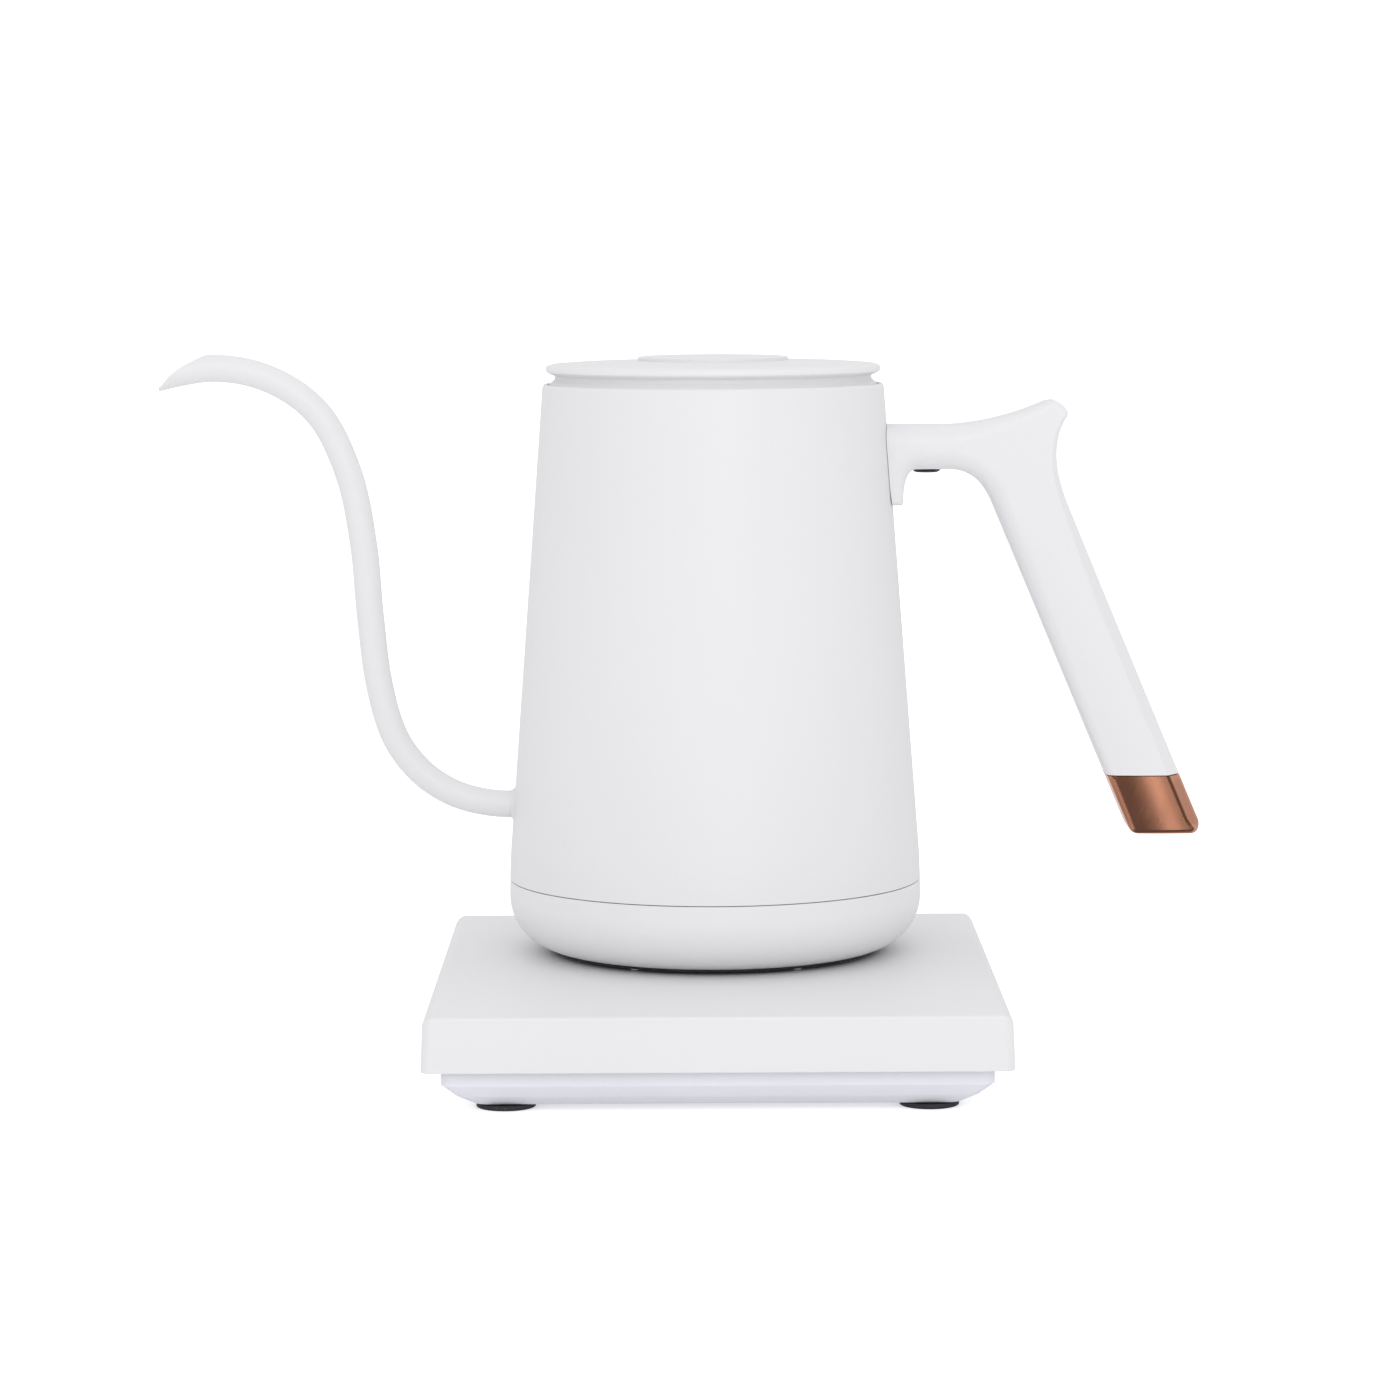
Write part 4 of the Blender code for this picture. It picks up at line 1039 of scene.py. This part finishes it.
screw_places = [(x, y, 0.0) for y in (-72.0, 25.6) for x in (-44.0, 44.0)]
foot_places = [(x, y, 0.0) for y in (-88.0, 41.6) for x in (-53.0, 53.0)]
tray_corners = [(-30.0, -21.9, 0), (-13.4, -21.9, 0.8), (-6.2, -17.0, 1.0), (-6.2, -9.0, 0.3),
                (-4.2, -9.0, 0.3), (-4.2, -17.8, 0.5), (-7.9, -21.25, 3.0), (-12.2, -23.9, 0.7),
                (-30.0, -23.9, 0)]
tray_rings = [base_outline(p.x, p.x, p.y) for p in eased(tray_corners)]
tray = settle(loft(tray_rings), "base_tray", tray_plastic)
carve(tray, [rod(5.0, -22.4, -20.5, spot[:2]) for spot in screw_places], "UNION")
tray_tools = [rod(3.1, -25.0, -22.2, spot[:2]) for spot in screw_places]
tray_tools += [rod(1.7, -25.0, -20.0, spot[:2], 24) for spot in screw_places]
tray_tools += [rod(2.8, -25.0, -20.9, spot[:2], 32) for spot in foot_places]
tray_tools.append(rod(6.0, BASE_BACK - 12.0, BASE_BACK, along=gland_turn))
carve(tray, tray_tools)
claim(tray, "base", "tray_plastic", "base_bottom_tray")

# %% Feet, screws and gland
foot = turn(eased([(0, -22.1, 0), (2.5, -22.1, 0.3), (2.5, -24.2, 0), (7.5, -24.2, 0.3),
                   (7.5, -25.4, 0.4), (5.9, -25.4, 0.15), (5.6, -25.05, 0.15), (0, -25.05, 0)]),
            SMALL_SIDES, False)
feet = repeated("base_feet", foot, foot_places, foot_rubber)
claim(feet, "base", "foot_rubber", *[f"base_foot_{i}" for i in range(1, 5)])
base_screws = repeated("base_screws", screw_shape(2.7, -23.7, -22.5, 1.1, -10.0), screw_places,
                       zinc, math.tau, 7)
claim(base_screws, "base", "screw_steel", *[f"base_screw_{i}" for i in range(1, 5)])
gland = [(2.7, BASE_BACK + 0.1, 0.4), (3.9, BASE_BACK + 0.1, 0.3), (3.9, BASE_BACK - 2.7, 0),
         (5.3, BASE_BACK - 2.7, 0.2), (5.3, BASE_BACK - 6.5, 0.3), (2.7, BASE_BACK - 6.5, 0.3)]
gland_bm = turn(eased(gland, closed=True), SMALL_SIDES)
bmesh.ops.transform(gland_bm, matrix=gland_turn, verts=gland_bm.verts)
claim(settle(gland_bm, "cord_gland_fine", black_plastic), "base", "black_plastic", "cord_gland")

# %% [markdown]
# ## Socket and shutter ring
#
# The lower half of the coupling stands up through the shell: a black drum with a round
# slot. In the slot lies the shutter ring, which covers the contacts and turns with the
# kettle. The contact leaves stay as the engineering model gives them, in brass.

# %% Socket
socket_corners = [
    (2.6, 9.5, 0.4), (8.0, 9.5, 0.4), (8.0, -2.5, 0.2), (12.5, -2.5, 0.2), (12.5, 9.5, 0.4),
    (19.0, 9.5, 0.9), (19.0, -2.6, 0), (23.0, -2.6, 0.3), (23.0, -5.0, 0.3), (19.0, -5.0, 0.2),
    (19.0, -9.0, 0.4), (2.6, -9.0, 0.3),
]
contact_slots = [block((11.9, -2.6, -12.0), (15.4, 2.6, 6.0)),
                 block((-8.6, -2.2, -12.0), (-5.2, 2.2, 6.0))]
turned("socket_drum", black_plastic, "black_plastic", "socket_housing", socket_corners,
       contact_slots, "base")
shutter = [(8.4, 0.9, 0.3), (9.6, 0.9, 0.15), (9.75, 0.5, 0.15), (10.75, 0.5, 0.15),
           (10.9, 0.9, 0.15), (12.1, 0.9, 0.3), (12.1, -1.9, 0.3), (8.4, -1.9, 0.3)]
turned("shutter_ring", black_plastic, "black_plastic", "socket_shutter_ring", shutter,
       body="swivel", sides=128)

# %% [markdown]
# ## The handle
#
# The handle is one moulding: an arm, a horn that stops the hand from sliding up, and a
# grip that leans away from the hot body. Its sides are flat. The edges along the arm
# and the front of the grip are fully rounded for the fingers, and the back edges are
# cut to a facet that grows towards the end. A box with bevels has one edge width; here
# each point of the side outline carries its own edge width and its own share of facet.

# %% Outline of the handle
HALF_WIDTH = 9.0
GRIP_TOP = 119.3
GRIP_FRONT = 74.7
GRIP_BACK = 94.4
CAP_BOTTOM = 31.6
REACH = 130.0
ROOT_X = 36.0
LEAN = math.tan(math.radians(GRIP_LEAN))


def bend(start, corner, end, count=14):
    """A quadratic bend between two knots of (x, z, edge, facet)."""
    start, end = Vector(start), Vector(end)
    corner = Vector((*corner, (start[2] + end[2]) / 2, (start[3] + end[3]) / 2))
    points = []
    for i in range(count + 1):
        t = i / count
        points.append((1 - t) ** 2 * start + 2 * t * (1 - t) * corner + t * t * end)
    return points


back_foot_x = GRIP_BACK + (GRIP_TOP - CAP_BOTTOM - 3.2) * LEAN
front_foot_x = GRIP_FRONT + (GRIP_TOP - CAP_BOTTOM - 1.6) * LEAN
outline = [Vector((ROOT_X, 141.0, 0.3, 0.0)), Vector((43.0, 141.0, 4.9, 0.0))]
outline += bend((62.0, 140.9, 4.9, 0), (76.0, 141.5), (88.6, 147.0, 1.4, 0), 24)
outline += bend((90.4, 147.3, 1.2, 0.2), (91.4, 147.3), (92.1, 146.6, 1.0, 0.2), 5)
outline += bend((93.0, 145.7, 0.9, 0.2), (94.6, 144.1), (93.4, 142.7, 0.9, 0.2), 8)
outline += bend((93.1, 142.2, 1.0, 0.3), (88.4, 133.5), (GRIP_BACK, GRIP_TOP, 1.9, 1.0), 28)
outline += [Vector((GRIP_BACK + 24.0 * LEAN, GRIP_TOP - 24.0, 3.0, 1.0))]
outline += [Vector((back_foot_x - 2.0 * LEAN, CAP_BOTTOM + 5.2, 3.1, 1.0))]
outline += bend((back_foot_x, CAP_BOTTOM + 3.2, 2.7, 1.0), (REACH, CAP_BOTTOM),
                (127.2, CAP_BOTTOM, 1.2, 0.3), 10)
outline += bend((113.2, CAP_BOTTOM, 1.2, 0), (111.5, CAP_BOTTOM),
                (front_foot_x, CAP_BOTTOM + 1.6, 1.5, 0), 8)
outline += [Vector((front_foot_x - 8.0 * LEAN, CAP_BOTTOM + 9.6, 1.8, 0.0))]
outline += bend((GRIP_FRONT, GRIP_TOP, 4.4, 0), (70.7, 129.2), (62.5, 129.2, 4.9, 0), 20)
outline += bend((54.0, 129.2, 4.6, 0), (50.6, 129.2), (50.35, 121.2, 1.6, 0), 16)
outline += [Vector((50.1, 119.8, 1.2, 0.0)), Vector((ROOT_X, 119.8, 0.3, 0.0))]


LONGEST = 1.6
SHORTEST = 0.02


def fine_steps(points):
    """Adds points so that no straight stretch is longer than a step."""
    finer = []
    for here, there in zip(points, points[1:] + points[:1]):
        count = max(1, math.ceil((there.xy - here.xy).length / LONGEST))
        finer += [here.lerp(there, i / count) for i in range(count)]
    pairs = zip(finer, finer[1:] + finer[:1])
    return [p for p, q in pairs if (p.xy - q.xy).length > SHORTEST]


outline = fine_steps(outline)
print("the handle's outline has", len(outline), "points")

# %% [markdown]
# ## Skinning the handle
#
# Across the width, each outline point runs through the same ten steps on each side:
# a quarter round, or a flat facet with two small eased shoulders, or a mix of the two.
# The last ring closes with one flat face. The whole handle is skinned once, and then
# cut at the cap's joint, so grip and cap share every line.

# %% Skin and split
ROUND_EDGE = [(1 - math.cos(math.radians(11.25 * k)), math.sin(math.radians(11.25 * k)))
              for k in range(9)] + [(1.08, 1.0)]
FACET_EDGE = [(0.0, -0.95), (0.03, -0.82), (0.10, -0.62), (0.30, -0.25), (0.5, 0.1), (0.70, 0.45),
              (0.90, 0.80), (1.0, 0.93), (1.14, 1.0), (1.24, 1.0)]


def handle_skin():
    """The whole handle as a closed solid in kettle millimetres."""
    count = len(outline)
    inward = []
    for i, point in enumerate(outline):
        run = outline[(i + 2) % count].xy - outline[i - 2].xy
        inward.append(Vector((run.y, -run.x)).normalized())
    rings = []
    for side in (-1.0, 1.0):
        half_rings = []
        for (round_in, round_y), (flat_in, flat_y) in zip(ROUND_EDGE, FACET_EDGE):
            ring = []
            for point, inside in zip(outline, inward):
                edge, facet = point[2], point[3]
                inset = edge * (round_in + (flat_in - round_in) * facet)
                across = HALF_WIDTH - edge + edge * (round_y + (flat_y - round_y) * facet)
                spot = point.xy + inside * inset
                ring.append((spot.x, side * across, spot.y))
            half_rings.append(ring)
        rings += half_rings[::-1] if side < 0 else half_rings
    return loft(rings)


def cut_off(bm, height, keep_above):
    """Keeps one side of a level cut and closes it."""
    result = bmesh.ops.bisect_plane(bm, geom=[*bm.verts, *bm.edges, *bm.faces],
                                    plane_co=(0, 0, height), plane_no=(0, 0, 1),
                                    clear_inner=keep_above, clear_outer=not keep_above)
    rim = [e for e in result["geom_cut"] if isinstance(e, bmesh.types.BMEdge)]
    bmesh.ops.edgenet_fill(bm, edges=rim)
    bmesh.ops.recalc_face_normals(bm, faces=bm.faces)
    return bm


CROWN_SAG = 0.085
CREST = 1.6
CROWN_TOP = 116.0
CROWN_RUN = 16.0


def grip_middle(height):
    """The middle of the grip, between its front and back edges."""
    return (GRIP_FRONT + GRIP_BACK) / 2 + (GRIP_TOP - height) * LEAN


def crown_sides(bm):
    """Cuts a grid into the grip and lets its flat sides swell a little between the edges."""
    along = Vector((LEAN, 0.0, -1.0)).normalized()
    across = Vector((-along.z, 0.0, along.x))
    for k in range(-8, 9):
        middle = Vector((grip_middle(CROWN_TOP) + k * 1.15, 0.0, CROWN_TOP))
        bmesh.ops.bisect_plane(bm, geom=[*bm.verts, *bm.edges, *bm.faces], plane_co=middle,
                               plane_no=across)
    for k in range(9):
        height = CROWN_TOP - CROWN_RUN * k / 8
        bmesh.ops.bisect_plane(bm, geom=[*bm.verts, *bm.edges, *bm.faces], plane_no=along,
                               plane_co=(grip_middle(height), 0.0, height))
    for vert in bm.verts:
        share = min(1.0, max(0.0, (CROWN_TOP - vert.co.z) / CROWN_RUN))
        share = share * share * (3.0 - 2.0 * share)
        away = (vert.co.x - grip_middle(vert.co.z) - CREST) / 10.0
        vert.co.y *= 1.0 - CROWN_SAG * share * min(1.4, away * away)
    return bm


JOINT = 47.3
HALF_GAP = 0.12
SCREW = (56.8, 0.0)
HANDLE_SHARP = 30.0
EASE = 0.22
EASE_ANGLE = 62.0
cone = [(0, 150.0), (body_radius(150.0) + 0.12, 150.0), (body_radius(124.0) + 0.12, 124.0),
        (body_radius(116.0) + 0.6, 116.0), (0, 116.0)]
grip_skin = cut_off(crown_sides(handle_skin()), JOINT + HALF_GAP, True)
grip = settle(grip_skin, "handle_grip_fine", grip_plastic, HANDLE_SHARP)
pockets = [turn(cone, BODY_SIDES, False), block((40.0, -6.4, 121.6), (49.85, 6.4, 138.4)),
           block((49.0, -5.3, 132.0), (68.0, 5.3, 137.4)), rod(1.7, 127.0, 134.0, SCREW),
           rod(3.2, 127.0, 130.9, SCREW)]
carve(grip, pockets)
soften(grip, EASE, EASE_ANGLE)
claim(grip, "kettle", "handle_plastic", "handle_grip")
cap_skin = cut_off(crown_sides(handle_skin()), JOINT - HALF_GAP, False)
cap = settle(cap_skin, "handle_cap", copper, HANDLE_SHARP)
soften(cap, EASE, EASE_ANGLE)
claim(cap, "kettle", "copper_cap", "handle_end_cap")
cover = [(0, 129.6, 0), (3.0, 129.6, 0), (3.0, 129.0, 0), (3.8, 129.0, 0.1), (3.6, 128.65, 0.3),
         (2.9, 128.25, 0.8), (0, 128.1, 0)]
turned("screw_cover", black_plastic, "black_plastic", "handle_screw_cover", cover,
       sides=SMALL_SIDES, closed=False, centre=SCREW)

# %% [markdown]
# ## The lid
#
# The lid's rim stands out like a thin plate over a hollow neck, which leaves a dark line
# above the body. Its top is slightly domed and carries a low round boss with a dished
# centre. Below, a plug with a silicone ring fills the mouth. All are turned; the flare
# under the rim is a curve, so its corners get generous radii.

# %% Lid
lid_corners = [
    (0, 158.95, 0), (12.0, 159.05, 0), (18.6, 159.4, 0.5), (20.0, 159.25, 0.55),
    (20.0, 158.25, 0.15), (30.0, 158.05, 0), (38.0, 157.75, 0), (42.9, 157.4, 0.9),
    (44.5, 156.9, 0.8), (44.5, 155.4, 0.8), (43.1, 154.7, 0.3), (42.2, 154.5, 0.3),
    (42.1, 153.4, 0.9), (43.6, 152.2, 0.5), (43.6, 151.2, 0.15), (40.0, 151.2, 0.15),
    (40.0, 154.9, 0.5), (4.0, 154.9, 0.6), (4.0, 142.5, 0.3), (1.4, 142.5, 0.15),
    (1.4, 150.0, 0), (0, 150.0, 0),
]
turned("lid", lid_plastic, "white_plastic", "lid_top", lid_corners, body="lid",
       sides=BODY_SIDES, closed=False, sharp=50.0)
plug = [
    (37.4, 154.5, 0.3), (39.7, 154.5, 0.3), (39.7, 148.5, 0.2), (38.5, 148.5, 0.1),
    (38.5, 145.5, 0.1), (39.7, 145.5, 0.2), (39.7, 141.6, 0), (38.9, 141.0, 0.4), (1.6, 141.0, 0.1),
    (1.6, 142.2, 0.1), (37.4, 142.2, 0.5),
]
turned("lid_plug_fine", inner_plastic, "tray_plastic", "lid_plug", plug, body="lid")
seal_ring = [(38.9, 148.2, 0.2), (39.9, 148.2, 0.2), (40.6, 147.0, 0.5), (39.9, 145.8, 0.2),
             (38.9, 145.8, 0.2)]
turned("lid_seal_ring", silicone, "silicone", "lid_seal", seal_ring, body="lid")
lid_screw = settle(screw_shape(3.2, 139.3, 140.7, 1.1, 149.0), "lid_screw_fine", zinc)
claim(lid_screw, "lid", "screw_steel", "lid_screw")

# %% [markdown]
# ## Pieces that keep their engineering shape
#
# Boards, coils and contacts are hidden or already right, so they stay as they are. They
# still need real finishes, because a model that is taken apart shows them all.

# %% Finishes for the remaining nodes
KEPT = {
    "control_board": board_green, "touch_board": board_green, "display_module": display_glass,
    "power_transformer": black_plastic, "relay": black_plastic, "beeper": black_plastic,
    "smoothing_capacitor": black_plastic, "cord_clamp": black_plastic,
    "socket_contact_live": brass, "socket_contact_neutral": brass, "socket_contact_earth": brass,
    "thermal_cutout": brass, "heating_element": inner_steel, "handle_bracket": inner_steel,
    "handle_screw": zinc,
}
for name, material in KEPT.items():
    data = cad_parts[name].data
    data.materials.clear()
    data.materials.append(material)
print("nodes kept with new finishes:", len(KEPT))

# %% [markdown]
# ## Floor, light and camera
#
# A white object on white needs a studio that is bright everywhere and only a little
# brighter from one side. The floor is pale and slightly self-lit, so it stays white and
# still takes a soft contact shadow; seen from below it lets the view through. The sky
# is a gradient: white for the camera, lavender white for soft light, and dark in front
# for reflections, so that metal has something to show.

# %% Floor
FLOOR_HALF = 9.0
floor_mesh = bpy.data.meshes.new("studio_floor")
floor_mesh.from_pydata([(-FLOOR_HALF, -FLOOR_HALF, FLOOR_Z), (FLOOR_HALF, -FLOOR_HALF, FLOOR_Z),
                        (FLOOR_HALF, FLOOR_HALF, FLOOR_Z), (-FLOOR_HALF, FLOOR_HALF, FLOOR_Z)],
                       [], [(0, 1, 2, 3)])
floor = bpy.data.objects.new("studio_floor", floor_mesh)
bpy.context.scene.collection.objects.link(floor)
paper = Finish("pale_paper")
mottle = paper.noise(6.0, 2.0)
paper.finish(paper.blend(mottle, (0.80, 0.80, 0.805, 1.0), (0.82, 0.82, 0.82, 1.0)), 0.9,
             Emission_Strength=1.0, Specular_IOR_Level=0.0)
to_camera = paper.node("ShaderNodeLightPath", out="Is Camera Ray")
paper.feed(paper.shader.inputs["Emission Color"], 0.15 + 0.36 * to_camera)
see_through = paper.node("ShaderNodeBsdfTransparent")
behind = paper.node("ShaderNodeNewGeometry", out="Backfacing")
solid = Wire(paper, paper.shader.outputs[0])
paper.feed(paper.tree.nodes["Material Output"].inputs["Surface"],
           paper.node("ShaderNodeMixShader", {}, {0: behind, 1: solid, 2: see_through}))
floor_mesh.materials.append(paper.material)
floor.visible_glossy = False
floor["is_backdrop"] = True
print("floor at", round(FLOOR_Z / MM, 2), "mm")

# %% Sky
world = bpy.data.worlds.new("studio")
bpy.context.scene.world = world
world.use_nodes = True
sky = Graph(world.node_tree)
ray = sky.tree.nodes.new("ShaderNodeLightPath")
direction = sky.node("ShaderNodeTexCoord", out="Generated")
split = sky.tree.nodes.new("ShaderNodeSeparateXYZ")
sky.feed(split.inputs[0], direction)
toward_back = Wire(sky, split.outputs["Y"])
overhead = Wire(sky, split.outputs["Z"])
gleam = sky.node("ShaderNodeMapRange", {}, {"Value": toward_back, "From Min": -0.1, "From Max": 0.8,
                                            "To Min": 0.17, "To Max": 0.95})
soft = sky.node("ShaderNodeMapRange", {}, {"Value": overhead, "From Min": 0.0, "From Max": 1.0,
                                           "To Min": 0.78, "To Max": 1.10})
is_glossy = Wire(sky, ray.outputs["Is Glossy Ray"])
is_camera = Wire(sky, ray.outputs["Is Camera Ray"])
strength = (1 - is_glossy) * soft + is_glossy * gleam
strength = (1 - is_camera) * strength + is_camera * 1.08
tint = sky.node("ShaderNodeMix", {"data_type": "RGBA"},
                {0: is_camera, 6: (0.985, 0.983, 1.0, 1.0), 7: (1.0, 1.0, 1.0, 1.0)}, 2)
background = sky.tree.nodes["Background"]
sky.feed(background.inputs["Color"], tint)
sky.feed(background.inputs["Strength"], strength)
print("sky has", len(sky.tree.nodes), "nodes")

# %% Soft lights
CENTRE = (CAD_LOW + CAD_HIGH) / 2


def softbox(name, place, width, height, watts):
    """A rectangle of soft light that faces the kettle and that no camera sees."""
    data = bpy.data.lights.new(name, "AREA")
    data.shape = "RECTANGLE"
    data.size = width
    data.size_y = height
    data.energy = watts
    lamp = bpy.data.objects.new(name, data)
    lamp.location = place
    lamp.rotation_euler = (CENTRE - Vector(place)).to_track_quat("-Z", "Y").to_euler()
    lamp.visible_camera = False
    bpy.context.scene.collection.objects.link(lamp)
    return lamp


softbox("front_softbox", (0.05, -1.7, 0.75), 1.2, 1.1, 5.2)
softbox("reflector_strip", (0.25, -1.0, 0.06), 0.12, 0.85, 0.55)

# %% Camera
bpy.context.scene.view_settings.view_transform = "Standard"
LENS = 113.27
PITCH = 6.04
YAW = -0.09
ROLL = -0.26
eye = bpy.data.cameras.new("studio_camera")
eye.lens = LENS
eye.sensor_width = 36.0
camera = bpy.data.objects.new("studio_camera", eye)
stand = TO_WORLD @ Vector((-5.7, -1175.4, 191.7))
turned_eye = (Matrix.Rotation(math.radians(YAW), 4, "Z")
              @ Matrix.Rotation(math.radians(90.0 - PITCH), 4, "X")
              @ Matrix.Rotation(math.radians(ROLL), 4, "Z"))
camera.matrix_world = Matrix.Translation(stand) @ turned_eye
bpy.context.scene.collection.objects.link(camera)
bpy.context.scene.camera = camera
print("camera stands", round((stand - CENTRE).length, 3), "m away")

# %% [markdown] ## Size and table  The visual pieces may not outgrow the engineering
# model, so both boxes are written side by side.

# %% Measure and finish
low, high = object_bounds()
for axis in range(3):
    ends = (CAD_LOW[axis], low[axis], CAD_HIGH[axis], high[axis])
    print("xyz"[axis], [round(end / MM, 2) for end in ends])
